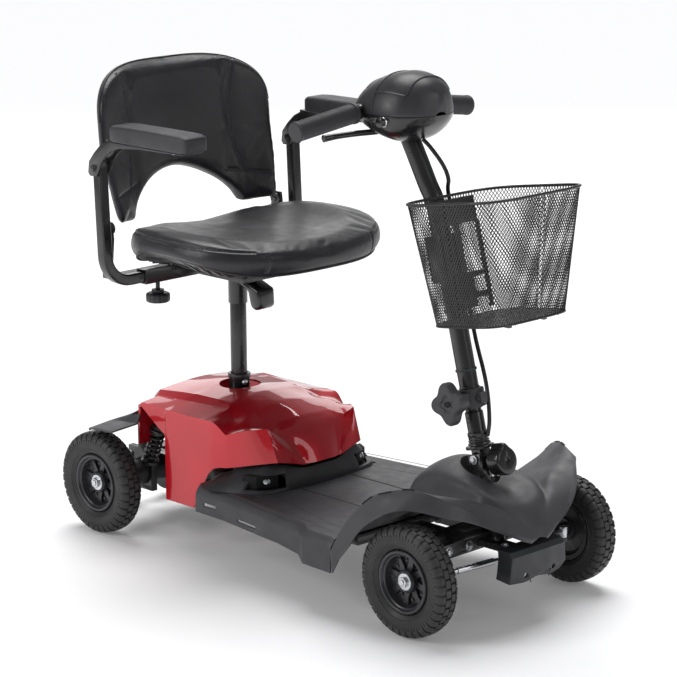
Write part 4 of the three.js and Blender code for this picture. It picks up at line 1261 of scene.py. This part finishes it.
back_made = Shape()
back_made.add(grid(back_grid(1)))
back_made.add(grid(back_grid(-1)))
back = mesh_object("backrest_cushion_sewn", back_made)
bm = bmesh.new()
bm.from_mesh(back.data)
bmesh.ops.remove_doubles(bm, verts=bm.verts, dist=2e-5)
bmesh.ops.recalc_face_normals(bm, faces=bm.faces)
bm.to_mesh(back.data)
bm.free()
back_base = surface_tree(back)
back_seams = []
for sign in (-1, 1):
    for line in (
        [
            (0, sign * 138, 846), (0, sign * 129, 820), (0, sign * 121, 775), (0, sign * 119, 735),
            (0, sign * 124, 690), (0, sign * 132, 656), (0, sign * 135, 641)
        ],
        [(0, sign * 108, 642), (0, sign * 150, 635), (0, sign * 190, 630)]
    ):
        back_seams.append(
            [
                p
                for p, _ in laid(
                    back_base, even_run(spline([(300, y, z) for _, y, z in line], 8)), (-1, 0, 0)
                )
            ]
        )
back_edge = [Vector((0, *back_outline(-math.cos(math.pi * j / 90), 1))) for j in range(91)]
back_edge = [
    Vector((back_front(p.y / BACK_W, p.z) - (20 + 26 * (1 - abs(p.y / BACK_W) ** 2.5)) / 2, p.y, p.z))
    for p in back_edge
]
back_points = [p for run in back_seams for p in run]


def at_back_edge(p):
    f = max(-1.0, min(1.0, p.y / BACK_W))
    return abs(f) > 0.97


swollen(back, back_points, at_back_edge, 4.4, 2.4, 5.0)
channelled(back, back_points, 2.6, 2.4)
dressed(back, "backrest", LEATHER, ["backrest_cushion"], 80)
back_tree = surface_tree(back)
stitched("backrest_stitching", back_tree, [closest(back_tree, run) for run in back_seams], "backrest")
piping = [p for p, _ in closest(back_tree, back_edge[2:-2])]
piece("backrest_piping", shape(tube(piping, circle(2.2, 10))), "backrest", WELT)
from_cad("backrest_frame", ENAMEL, 1.0)
from_cad("seat_frame", ENAMEL, 1.0)


# ====================================================================
# armrests and seat controls
# ====================================================================
def fluted_knob(centre, radius, height, flutes, hub):
    """A round hand knob with flutes round its side, standing up from its centre."""
    rings = []
    for r, h in (
        (0.86, 0), (0.97, 0.1), (1.0, 0.25), (1.0, 0.75), (0.96, 0.9), (0.8, 1.0), (hub / radius, 1.0)
    ):
        ring = []
        for i in range(flutes * 8):
            a = 2 * math.pi * i / (flutes * 8)
            dip = 0.045 * max(0.0, math.cos(flutes * a)) if r > 0.9 else 0
            ring.append(
                Vector(centre) + Vector(
                    ((r - dip) * radius * math.cos(a), (r - dip) * radius * math.sin(a), h * height)
                )
            )
        rings.append(ring)
    return loft(rings)


for side, s in SIDES:
    bend = [Vector((-318, s * (ARM_Y - 52 + 52 * math.cos(a)), 537 + 52 * math.sin(a)))
            for a in (math.radians(-90 + 7.5 * k) for k in range(13))]
    path = [Vector((-318, s * 60, 485)), *bend, Vector((-325, s * ARM_Y, 700))]
    made = shape(tube(path, rounded_square(20, 3.2, 4)),
                 block(-336, -314, s * ARM_Y - 9.8, s * ARM_Y + 9.8, 690, 707),
                 rod((-325, s * ARM_Y - 18, 692), (-325, s * ARM_Y + 18, 692), 5, 32))
    piece(
        f"armrest_tube_{side}_bent", made, f"armrest_{side}", ENAMEL,
        [f"armrest_tube_{side}"], bevel=0.7
    )
    piece(f"armrest_bolts_{side}", shape(hex_bolt((-325, s * (ARM_Y + 14.5), 692), (0, s, 0), 5.0, 4.0),
                                         hex_bolt((-325, s * (ARM_Y - 14.5), 692), (0, -s, 0), 5.0, 4.0)),
          f"armrest_{side}", ENAMEL, bevel=0.3)

    plate = [
        (-341, 684), (-336, 678), (-318, 679), (-312, 688), (-304, 704), (-292, 718), (-276, 728),
        (-256, 735), (-200, 740), (-110, 742), (-108, 750), (-262, 750), (-286, 746), (-306, 736),
        (-324, 720), (-338, 704)
    ]
    arm = shape(
        prism(plate, s * ARM_Y - 14.3, s * ARM_Y - 11.0), prism(plate, s * ARM_Y + 11.0, s * ARM_Y + 14.3),
        block(-292, -110, s * ARM_Y - 12, s * ARM_Y + 12, 742, 748)
    )
    piece(f"armrest_hinge_plates_{side}", arm, f"armrest_pad_{side}", ENAMEL, bevel=0.7)
    pad = Shape()
    rings = []
    for x, w, low, high in ((-268, 20, 752, 769), (-266.5, 23.5, 748.5, 773.5), (-262, 25.5, 746.6, 776.2),
                            (-240, 26.6, 746.2, 777.6), (-160, 27, 746.2, 778), (-84, 27, 746.2, 777.4),
                            (-72, 25.6, 746.6, 775.6), (-67.5, 23.5, 748.5, 773), (-66, 20, 752, 769)):
        section = []
        for y, z in rounded_square(2, 0.34, 5):
            section.append(Vector((x, s * ARM_Y + y * w, (low + high) / 2 + z * (high - low) / 2)))
        rings.append(section)
    pad.add(loft(rings))
    pad.add(loft([[Vector((x, s * ARM_Y + y * 1.0, 746.2 + z)) for y, z in
                   ((-22, 0), (22, 0), (22, -2.2), (-22, -2.2))] for x in (-258, -76)]))
    pad_obj = piece(
        f"armrest_pad_{side}_moulded", pad, f"armrest_pad_{side}", PAD,
        [f"armrest_pad_{side}"], bevel=0.5, smooth=50
    )
    screws = shape(*[hex_bolt((x, s * ARM_Y, 741.6), (0, 0, -1), 4.0, 3.0) for x in (-240, -180, -124)])
    piece(f"armrest_screws_{side}", screws, f"armrest_pad_{side}", ZINC, bevel=0.3)

    knob = shape(
        fluted_knob((-318, s * 112, 433), 22, 17, 14, 11),
        rod((-318, s * 112, 450), (-318, s * 112, 456), 11.5, 32),
        rod((-318, s * 112, 455), (-318, s * 112, 471.5), 4, 24)
    )
    piece(
        f"armrest_knob_{side}_fluted", knob, f"armrest_knob_{side}", CASE,
        [f"armrest_knob_{side}"], bevel=0.6
    )

from_cad("swivel_lever", GLOSS, 7.5)


# ====================================================================
# tiller
# ====================================================================
LEANED = Matrix.Translation(YOKE) @ Matrix.Rotation(-LEAN, 4, "Y")


def leaned(*solids):
    """Solids drawn upright about the yoke, carried into the leaning column."""
    made = Shape()
    for solid in solids:
        made.add(solid, LEANED)
    return made


ribs = [(0.1, 17), (24, 17), (24.4, 19), (24, 22), (19.4, 23.5)]
for k in range(3):
    z = 24.5 + 4.2 * k
    ribs += [(19.0 - k, z), (19.0 - k, z + 2.3), (16.6, z + 2.9), (16.6, z + 3.7)]
ribs += [(17.4, 38), (17.4, 44), (15.6, 45.5), (15.6, 78), (13.5, 80), (13.5, 298), (0.1, 300)]
lower = leaned(rod((0, -12.5, 0), (0, 12.5, 0), 12, 48), block(-10, 10, -12.5, 12.5, 0, 18), spun(ribs, 64))
lower.add(rod((0, 15.2, 58), (0, 17.0, 58), 4.2, 20), LEANED)
lower.add(rod((0, -17.0, 66), (0, -15.2, 66), 4.2, 20), LEANED)
piece("tiller_lower_tube_turned", lower, "tiller", ENAMEL, ["tiller_lower_tube"], bevel=0.4)
piece(
    "yoke_bolt",
    leaned(hex_bolt((0, -21, 0), (0, -1, 0), 5.5, 4.0), hex_bolt((0, 21, 0), (0, 1, 0), 5.5, 4.0)),
    "steering", ZINC, bevel=0.3
)
piece(
    "yoke_tab", leaned(prism([(17, -30), (24, -32), (25, -24), (18, -20)], -9, -1)), "steering",
    ZINC, bevel=0.5
)

collar = leaned(
    spun([(16.9, 86), (22, 86), (23.4, 87.5), (23.4, 116), (22, 118), (16.9, 118)], 64),
    block(-14, 14, -40, -16, 90, 112), block(16, 31, -8, 8, 92, 110),
    hex_bolt((24, -8, 101), (0, -1, 0), 4.4, 3.5), hex_bolt((24, 8, 101), (0, 1, 0), 4.4, 3.5))
piece("tiller_clamp_moulded", collar, "tiller_upper", MOULDED, ["tiller_clamp"], bevel=1.0)


def lobed(count, radius, swell, scale, sides=96):
    """Outline points of a hand knob with rounded lobes."""
    out = []
    for i in range(sides):
        a = 2 * math.pi * i / sides
        r = (radius + swell * math.cos(count * a)) * scale
        out.append((r * math.cos(a), r * math.sin(a)))
    return out


def stacked(levels, place):
    """A solid through outlines at several depths, put in place by a function of (u, v, depth)."""
    return loft([[place(u, v, depth) for u, v in outline] for outline, depth in levels])


def knob_place(u, v, depth):
    return LEANED @ Vector((u, -depth, 101 + v))


lobes = stacked(
    [
        (lobed(4, 31, 5.5, k), d)
        for k, d in (
            (0.90, 42.3), (0.97, 43.5), (1.0, 46), (1.0, 57.5), (0.965, 60.6), (0.88, 62), (0.45, 61),
            (0.36, 58.4), (0.30, 58.0)
        )
    ],
    knob_place
)
knob = Shape()
knob.add(lobes)
knob.add(rod((0, -36, 101), (0, -44, 101), 12, 40), LEANED)
piece(
    "tiller_clamp_knob_lobed", knob, "clamp_knob", MOULDED, ["tiller_clamp_knob"],
    bevel=0.4, smooth=50
)
# A near-black oval at the bottom of the knob's dimple: painted shade in the hollow.
eye = stacked(
    [
        ([(7.6 * math.cos(a), 5.0 * math.sin(a)) for a in (2 * math.pi * i / 32 for i in range(32))], d)
        for d in (58.2, 59.2)
    ],
    knob_place
)
piece("tiller_clamp_eye_painted_shade", shape(eye), "clamp_knob", SEAM_AND_SHADE, bevel=0.4)

drop = []
for i in range(72):
    a = 2 * math.pi * i / 72
    r = 24 + 7 * math.exp(-(min(a, 2 * math.pi - a) / 0.30) ** 2)
    drop.append((r * math.sin(a), r * math.cos(a) - 8))


def tilt_place(u, v, depth):
    return LEANED @ Vector((depth, u, v))


def shrunk(outline, k, middle=(0, -8)):
    return [(middle[0] + (u - middle[0]) * k, middle[1] + (v - middle[1]) * k) for u, v in outline]


tilt = stacked(
    [
        (shrunk(drop, k), d)
        for k, d in (
            (0.92, 30.3), (0.985, 31.6), (1.0, 34), (1.0, 52), (0.97, 55.4), (0.90, 57.4), (0.80, 58),
            (0.26, 58), (0.21, 57.2), (0.19, 54.5)
        )
    ],
    tilt_place
)
piece(
    "tilt_lock_knob_drop", shape(tilt), "tilt_knob", GLOSS, ["tilt_lock_knob"], bevel=0.3,
    smooth=50
)

UPPER_PATH = [
    column(84), column(160), column(240), column(320), column(388), (266, 0, 676), (249, 0, 704),
    (230, 0, 738), (211, 0, 771), (200, 0, 791)
]
upper_line = spline(UPPER_PATH, 6)
upper = Shape()
upper.add(tube(upper_line, circle(16.5, 48)))
upper.add(tube([column(118), column(121)], circle(17.6, 48)))
piece(
    "tiller_upper_tube_bent", upper, "tiller_upper", ENAMEL, ["tiller_upper_tube"], bevel=0.5
)

CABLE_PATH = [
    (238, 0, 778), (252, 4, 765), (272, 12, 738), (277, 20, 714), (270, 27, 690), column(392, 6, 29),
    column(300, 6, 28), column(200, 10, 25), column(140, 20, 20), column(100, 29, 10), column(60, 28, 4),
    column(36, 20, 2)
]
cable_line = spline(CABLE_PATH, 8)
cable = piece(
    "tiller_cable_jacketed", shape(tube(cable_line, circle(3.5, 20))), "tiller_upper",
    CABLE, ["tiller_cable"]
)
ties = Shape()
for s_ in (150, 250, 345):
    ties.add(
        lathe([(17.0, s_ - 2.2), (18.2, s_ - 2.2), (18.2, s_ + 2.2), (17.0, s_ + 2.2)], 48, "Z"), LEANED
    )
piece("cable_ties", ties, "tiller_upper", CASE, bevel=0.3)


# ====================================================================
# basket
# ====================================================================
BASKET_TILT = math.radians(8.6)
BASKET_LOW, BASKET_HIGH = 502, 705


def basket_point(angle, share, out=0.0):
    """A point on the basket's wall, share from its floor to its rim."""
    power = 2 / 4.5
    cx = 415 + (397 - 415) * share
    a = 80 + (113.5 - 80) * share + out
    b = 94 + (118.5 - 94) * share + out
    z = BASKET_LOW + (BASKET_HIGH - BASKET_LOW) * share
    u = a * math.copysign(abs(math.cos(angle)) ** power, math.cos(angle))
    v = b * math.copysign(abs(math.sin(angle)) ** power, math.sin(angle))
    return Vector((cx + u * math.cos(BASKET_TILT), v, z + u * math.sin(BASKET_TILT)))


def even_angles(count, share):
    """Angles that divide the wall's outline at one height into equal lengths."""
    fine = 2880
    points = [basket_point(2 * math.pi * i / fine, share) for i in range(fine + 1)]
    sums = [0.0]
    for a, b in zip(points, points[1:]):
        sums.append(sums[-1] + (b - a).length)
    out, i = [], 0
    for k in range(count):
        target = sums[-1] * k / count
        while sums[i + 1] < target:
            i += 1
        out.append(2 * math.pi * (i + (target - sums[i]) / (sums[i + 1] - sums[i])) / fine)
    return out


def strand(a, b, normal, width=0.55, depth=0.4):
    """One flat wire of the mesh between two crossings, open at its ends."""
    along = (b - a).normalized()
    across = along.cross(normal).normalized() * width
    up = normal * depth
    ring = [across + up, up - across, -across - up, across - up]
    return [p + q for p in (a, b) for q in ring], [
        (k, (k + 1) % 4, 4 + (k + 1) % 4, 4 + k)
        for k in range(4)
    ]


WALL_COLUMNS, WALL_ROWS = 132, 46
low_angles, high_angles = even_angles(WALL_COLUMNS * 2, 0), even_angles(WALL_COLUMNS * 2, 1)


def crossing(i, j):
    share = j / WALL_ROWS
    k = (2 * i + (j % 2)) % (2 * WALL_COLUMNS)
    return basket_point(low_angles[k] * (1 - share) + high_angles[k] * share, share)


mesh_wall = Shape()
hub_line = Vector((406, 0, 0))
for j in range(WALL_ROWS):
    for i in range(WALL_COLUMNS):
        a = crossing(i, j)
        outwards = Vector((a.x - hub_line.x, a.y, 0)).normalized()
        near = (i - 1, i) if j % 2 == 0 else (i, i + 1)
        for k in near:
            mesh_wall.add(strand(a, crossing(k % WALL_COLUMNS, j + 1), outwards))
floor_step = 6.0
for kind in (1, -1):
    for k in range(-30, 31):
        line = []
        for t in range(-120, 121):
            u, v = t * 1.4 + k * floor_step, kind * t * 1.4 * 1.25
            if abs(u / 78) ** 4.5 + abs(v / 92) ** 4.5 < 1:
                line.append(
                    Vector((415 + u * math.cos(BASKET_TILT), v, BASKET_LOW + 1 + u * math.sin(BASKET_TILT)))
                )
        if len(line) > 3:
            for a, b in zip(line[::6], [*line[6::6], line[-1]]):
                if (b - a).length > 0.5:
                    mesh_wall.add(strand(a, b, Vector((0, 0, 1))))
piece("basket_mesh", mesh_wall, "tiller_upper", WIRE, ["basket"], smooth=20)


def wire_ring(share, radius, out=0.0, lift=0.0, count=160):
    points = [
        basket_point(2 * math.pi * (i + 0.5) / count, share, out) + Vector((0, 0, lift))
        for i in range(count)
    ]
    rings = []
    for i, p in enumerate(points):
        along = (points[(i + 1) % count] - points[i - 1]).normalized()
        side = along.cross(Vector((0, 0, 1))).normalized()
        up = side.cross(along)
        rings.append(
            [
                p + side * (
                    radius * math.cos(2 * math.pi * k / 12)
                ) + up * (radius * math.sin(2 * math.pi * k / 12))
                for k in range(12)
            ]
        )
    return loft(rings, closed=True)


wires = shape(wire_ring(1, 2.4, 0.4, -0.2), wire_ring(0, 1.8, 0.2, 0.4))
for y in (-52, 0, 52):
    wires.add(
        tube(
            [
                basket_point(math.atan2(y, 400), 0) + Vector(
                    (0, y - basket_point(math.atan2(y, 400), 0).y, -0.5)
                ),
                Vector((415, y, BASKET_LOW - 1)),
                Vector((415 - 78 * math.cos(BASKET_TILT), y, BASKET_LOW - 1 - 78 * math.sin(BASKET_TILT)))
            ],
            circle(1.5, 10)
        )
    )
for y in (-29, 56):
    wires.add(block(450, 462, y - 4, y + 4, 498.5, 505))
piece("basket_wires", wires, "tiller_upper", WIRE)


def wall_x(z):
    """The inside of the basket's rear wall at the middle."""
    return 283.8 + (688 - z) / 198 * 51.5 + 1.6


def wall_plate(y0, y1, z0, z1, lift=0.0):
    corners = [Vector((wall_x(z) + lift, y, z)) for y, z in ((y0, z0), (y1, z0), (y1, z1), (y0, z1))]
    return loft([corners, [c + Vector((1.8, 0, 0.4)) for c in corners]])


plates = shape(
    wall_plate(-34, 68, 640, 682), wall_plate(61, 71, 500, 642, 0.2), wall_plate(-36, 34, 504, 562),
    wall_plate(30, 64, 553, 561, 0.2), wall_plate(30, 64, 518, 528, 0.2), wall_plate(-22, -8, 560, 642),
    wall_plate(8, 22, 560, 642)
)
for y, z in ((-14, 668), (14, 668), (-14, 530), (14, 530)):
    plates.add(hex_bolt((wall_x(z) + 1.6, y, z), (1, 0, 0.26), 4.0, 3.0))
u_shape = leaned(
    block(-21, 15, -21, -17.5, 300, 378), block(-21, 15, 17.5, 21, 300, 378),
    block(-21, -17.5, -21, 21, 300, 378)
)
u_shape.add((plates.verts, plates.faces))
piece(
    "basket_bracket_folded", u_shape, "tiller_upper", ENAMEL, ["basket_bracket"], bevel=0.6
)


# ====================================================================
# head, handlebar and controls
# ====================================================================
SPLIT_Z = 822
HEAD_ROWS = [
    (112, 26, 836, 810), (124, 46, 852, 800), (148, 60, 871, 786), (180, 68, 884, 776), (212, 70, 890, 772),
    (240, 64, 886, 780), (260, 50, 877, 797), (272, 32, 866, 812), (279, 12, 856, 828),
]
head_line = spline([(x, w, top) for x, w, top, _ in HEAD_ROWS], 6)
head_floor = spline([(x, w, bottom) for x, w, _, bottom in HEAD_ROWS], 6)


def head_half(upper_half, inset=0.0):
    """The head's dome or its lower half, closed by a flat face at the split."""
    rings = []
    for a, b in zip(head_line, head_floor):
        top, bottom = a.z - inset, b.z + inset
        ring = []
        for i in range(33):
            turn = math.pi * i / 32 + (0 if upper_half else math.pi)
            c = math.copysign(abs(math.cos(turn)) ** 0.85, math.cos(turn))
            s_ = math.sin(turn)
            lift = (top - SPLIT_Z) if upper_half else (SPLIT_Z - bottom)
            ring.append(
                Vector((a.x, (a.y - inset) * c, SPLIT_Z + lift * s_ + (0.2 if upper_half else -0.2)))
            )
        rings.append(ring)
    return loft(rings)


BAR_PATH = [
    (147, 200, 804), (149, 137, 812.5), (151, 75, 821), (153, 45, 825), (155, 0, 828), (153, -45, 825),
    (151, -75, 821), (149, -137, 812.5), (147, -200, 804)
]
bar_line = spline(BAR_PATH, 5)
bar_hole = shape(tube(bar_line, circle(12.2, 32)))
dial_hole = shape(rod((142, 0, 846), (142, 0, 900), 11.5, 40))
horn_hole = shape(rod((134, 30, 839), (134, 30, 880), 7, 32))
key_hole = shape(rod((214, -80, 812), (214, -56, 812), 7.6, 32))
head_body = "tiller_upper"

dome = mesh_object("head_dome", shape(head_half(True)))
outward(dome)
for tool in (bar_hole, dial_hole, horn_hole):
    carved(dome, tool)
bevelled(dome, 0.7, 2, 40)
dressed(dome, head_body, HEAD, ["head_upper_shell"], 36)
lower_shell = mesh_object("head_lower_gloss", shape(head_half(False)))
outward(lower_shell)
for tool in (bar_hole, key_hole):
    carved(lower_shell, tool)
bevelled(lower_shell, 0.7, 2, 40)
dressed(lower_shell, head_body, GLOSS, ["head_lower_shell"], 36)


def head_surface(x, turn, lift=0.0):
    """A point on the head at x; turn goes from the left side (0) over the top to the right (half a turn)."""
    for (a, b), (c, d) in zip(zip(head_line, head_floor), zip(head_line[1:], head_floor[1:])):
        if a.x <= x <= c.x:
            t = (x - a.x) / (c.x - a.x)
            width, top, bottom = a.y + (c.y - a.y) * t, a.z + (c.z - a.z) * t, b.z + (d.z - b.z) * t
            break
    cosine = math.copysign(abs(math.cos(turn)) ** 0.85, math.cos(turn))
    sine = math.sin(turn)
    height = (top - SPLIT_Z) if sine > 0 else (SPLIT_Z - bottom)
    return Vector((x, (width + lift) * cosine, SPLIT_Z + (height + lift) * sine))


def head_line_along(x0, x1, turn, radius, sides=8):
    return tube([head_surface(x, math.radians(turn), 0.2) for x in range(x0, x1, 3)], circle(radius, sides))


def head_line_over(x, low, high, radius, sides=8):
    return tube([head_surface(x, math.radians(a), 0.2) for a in range(low, high, 3)], circle(radius, sides))


piece(
    "head_seams", shape(head_line_along(116, 279, 180, 0.6), head_line_along(116, 279, 0, 0.6)), head_body,
    SEAM_AND_SHADE
)
beads = shape(
    head_line_over(186, 4, 178, 1.7), head_line_over(248, 34, 148, 2.0, 12),
    head_line_along(187, 250, 34, 1.2), head_line_along(187, 250, 146, 1.2),
    head_line_over(150, 50, 132, 1.2)
)
piece("head_beads", beads, head_body, HEAD)

piece(
    "handlebar_bent", shape(tube(bar_line, circle(11, 40)), rod((157, 0, 827), (180, 0, 812), 8, 32)),
    head_body, GLOSS, ["handlebar"], bevel=0.4
)
for side, s in SIDES:
    collar_at = [Vector((151.3, s * 66, 822.0)), Vector((150.9, s * 78, 820.5))]
    piece(
        f"bar_collar_{side}", shape(tube(collar_at, circle(13.6, 40))), head_body, GLOSS,
        bevel=0.6
    )
    start, stop = Vector((151, s * 76, 820.9)), Vector((146.7, s * 206, 803))
    along = (stop - start).normalized()
    length = (stop - start).length
    stations, sizes = [start], [0.93]
    bands = 44
    for k in range(bands):
        for share, size in ((0.15, 0.975), (0.35, 1.0), (0.65, 1.0), (0.85, 0.975)):
            stations.append(start + along * (5 + (length - 12) * (k + share) / bands))
            sizes.append(size)
    stations += [start + along * (length - 5), start + along * (length - 2), start + along * length]
    sizes += [1.03, 1.03, 0.9]
    grip = Shape()
    grip.add(tube(stations, circle(16.9, 48), sizes))
    grip.add(
        tube(
            [start - along * 2, start - along * 1, start + along * 3, start + along * 4], circle(18.2, 48),
            [0.94, 1, 1, 0.94]
        )
    )
    piece(f"grip_{side}_ribbed", grip, head_body, GRIP, [f"grip_{side}"], smooth=26)

lever = Shape()
for s in (-1, 1):
    line = spline(
        [
            (163, 0, 786), (158, s * 30, 785.5), (141, s * 60, 784), (124, s * 86, 781),
            (117, s * 102, 779), (114, s * 112, 778)
        ],
        6
    )
    sizes = [1 + 0.25 * max(0.0, (i / (len(line) - 1) - 0.55) / 0.45) for i in range(len(line))]
    sizes[-1] = 0.7
    lever.add(tube(line, circle(5.2, 24), sizes))
lever.add(spun([(12, 782.5), (12, 789.5)], 40, "Z", (162, 0, 0)))
piece("drive_lever_curved", lever, "drive_lever", GLOSS, ["drive_lever"], smooth=60)

dial = shape(fluted_knob((142, 0, 846), 10, 23, 16, 6.5))
piece("speed_dial_fluted", dial, "speed_dial", GLOSS, ["speed_dial"], bevel=0.3)
piece(
    "speed_pointer", shape(block(134, 141, -0.7, 0.7, 868.8, 869.6)), "speed_dial",
    DIAL_PRINT, bevel=0.15
)
ticks = Shape()
for k in range(11):
    turn = math.radians(40 + 28 * k)
    spot = Vector((142, 0, 0)) + Vector((-math.cos(turn), math.sin(turn), 0)) * 15.5
    base = head_surface(spot.x, math.acos(max(-1, min(1, spot.y / 56))), 0.15)
    ticks.add(spun([(0.8 + 0.08 * k, 0), (0.7 + 0.08 * k, 0.5)], 12, "Z", base - Vector((0, 0, 0.2))))
piece("speed_ticks", ticks, head_body, DIAL_PRINT)
horn = shape(spun([(6, 838), (6, 855.2), (5.4, 856.6), (3.6, 857), (0.1, 857)], 36, "Z", (134, 30, 0)))
piece("horn_button_round", horn, "horn_button", AMBER, ["horn_button"])
key = shape(lathe([(4.2, -57), (7, -57), (7, -72), (6.2, -73), (4.2, -73)], 40, "Y", (214, 0, 812)),
            rod((214, -60, 812), (214, -70.5, 812), 4.4, 28))
piece("key_switch_turned", key, "key", CHROME, ["key_switch"], bevel=0.3)
# The keyway is a thin near-black block: painted shade for the inside of the slot.
piece(
    "key_slot_painted_shade", shape(block(213.2, 214.8, -71.2, -70, 808.4, 815.6)), "key", SEAM_AND_SHADE,
    bevel=0.2
)
piece(
    "key_surround",
    shape(
        lathe([(7.2, -62), (8.8, -66.5), (8.8, -71.0), (8.3, -71.8), (7.2, -71.4)], 40, "Y", (214, 0, 812))
    ),
    head_body, CHROME
)


# ====================================================================
# studio
# ====================================================================
CAMERA_AT = Vector((3.2319, -3.10709, 1.4859))
CAMERA_AZIMUTH, CAMERA_HEIGHT, CAMERA_ROLL = math.radians(45.83), math.radians(13.64), math.radians(-0.42)
LENS, SENSOR_WIDTH = 139.86, 36
FLOOR_REACH = 20000
FLOOR_COLOUR = (0.86, 0.86, 0.87, 1)
FLOOR_GLOW = 0.12
SKY_COLOUR, SKY_STRENGTH = (0.97, 0.98, 1.0, 1), 0.22
SUN_STRENGTH, SUN_ANGLE, SUN_TURN = 2.7, 42, (-16, -18, 0)
# Each softbox: name, place and aim in metres, width, height, watts.
SOFTBOXES = (
    ("key", (-1.3, -3.2, 2.0), (0, 0, 0.4), 1.5, 2.0, 46),
    ("rim", (-3.4, 3.3, 1.75), (0, 0, 0.35), 4.0, 1.7, 30),
    ("front", (3.2, 0.6, 1.9), (0.2, 0, 0.4), 1.2, 1.8, 14),
)


def standing(data, name):
    """Puts a camera or a light into the scene as an object."""
    obj = bpy.data.objects.new(name, data)
    bpy.context.scene.collection.objects.link(obj)
    return obj


def set_camera():
    """A camera that looks at the scooter from its front right, a little above."""
    data = bpy.data.cameras.new("camera")
    data.lens, data.sensor_width = LENS, SENSOR_WIDTH
    camera = standing(data, "camera")
    reach = math.cos(CAMERA_HEIGHT)
    back = Vector(
        (math.sin(CAMERA_AZIMUTH) * reach, -math.cos(CAMERA_AZIMUTH) * reach, math.sin(CAMERA_HEIGHT))
    )
    level = Vector((math.cos(CAMERA_AZIMUTH), math.sin(CAMERA_AZIMUTH), 0))
    upright = level.cross(-back)
    right = level * math.cos(CAMERA_ROLL) + upright * math.sin(CAMERA_ROLL)
    up = upright * math.cos(CAMERA_ROLL) - level * math.sin(CAMERA_ROLL)
    frame_of_view = Matrix((right, up, back)).transposed().to_4x4()
    frame_of_view.translation = CAMERA_AT
    camera.matrix_world = frame_of_view
    bpy.context.scene.camera = camera


def softbox(name, at, towards, width, height, energy):
    """A rectangular lamp that faces a point."""
    data = bpy.data.lights.new(name, "AREA")
    data.shape = "RECTANGLE"
    data.size, data.size_y = width, height
    data.energy = energy
    lamp = standing(data, name)
    lamp.location = at
    lamp.rotation_euler = (Vector(towards) - Vector(at)).to_track_quat("-Z", "Y").to_euler()


def lay_floor():
    """A square floor, matt and faintly lit of itself, so that it stays pale to its far edge."""
    corners = [
        Vector((x * FLOOR_REACH, y * FLOOR_REACH, 0))
        for x, y in ((-1, -1), (1, -1), (1, 1), (-1, 1))
    ]
    floor = mesh_object("floor", shape((corners, [(0, 1, 2, 3)])))
    material, _, surface = blank_material("floor")
    for socket, value in (("Base Color", FLOOR_COLOUR), ("Roughness", 0.7), ("Specular IOR Level", 0.2),
                          ("Emission Color", (1, 1, 1, 1)), ("Emission Strength", FLOOR_GLOW)):
        surface.inputs[socket].default_value = value
    floor.data.materials.append(material)


set_camera()
lay_floor()
world = bpy.data.worlds.new("studio")
bpy.context.scene.world = world
world.use_nodes = True
sky = world.node_tree.nodes["Background"]
sky.inputs["Color"].default_value = SKY_COLOUR
sky.inputs["Strength"].default_value = SKY_STRENGTH
overhead = bpy.data.lights.new("overhead", "SUN")
overhead.energy, overhead.angle = SUN_STRENGTH, math.radians(SUN_ANGLE)
standing(overhead, "overhead").rotation_euler = [math.radians(angle) for angle in SUN_TURN]
for lamp in SOFTBOXES:
    softbox(*lamp)
bpy.context.scene.view_settings.view_transform = "Standard"
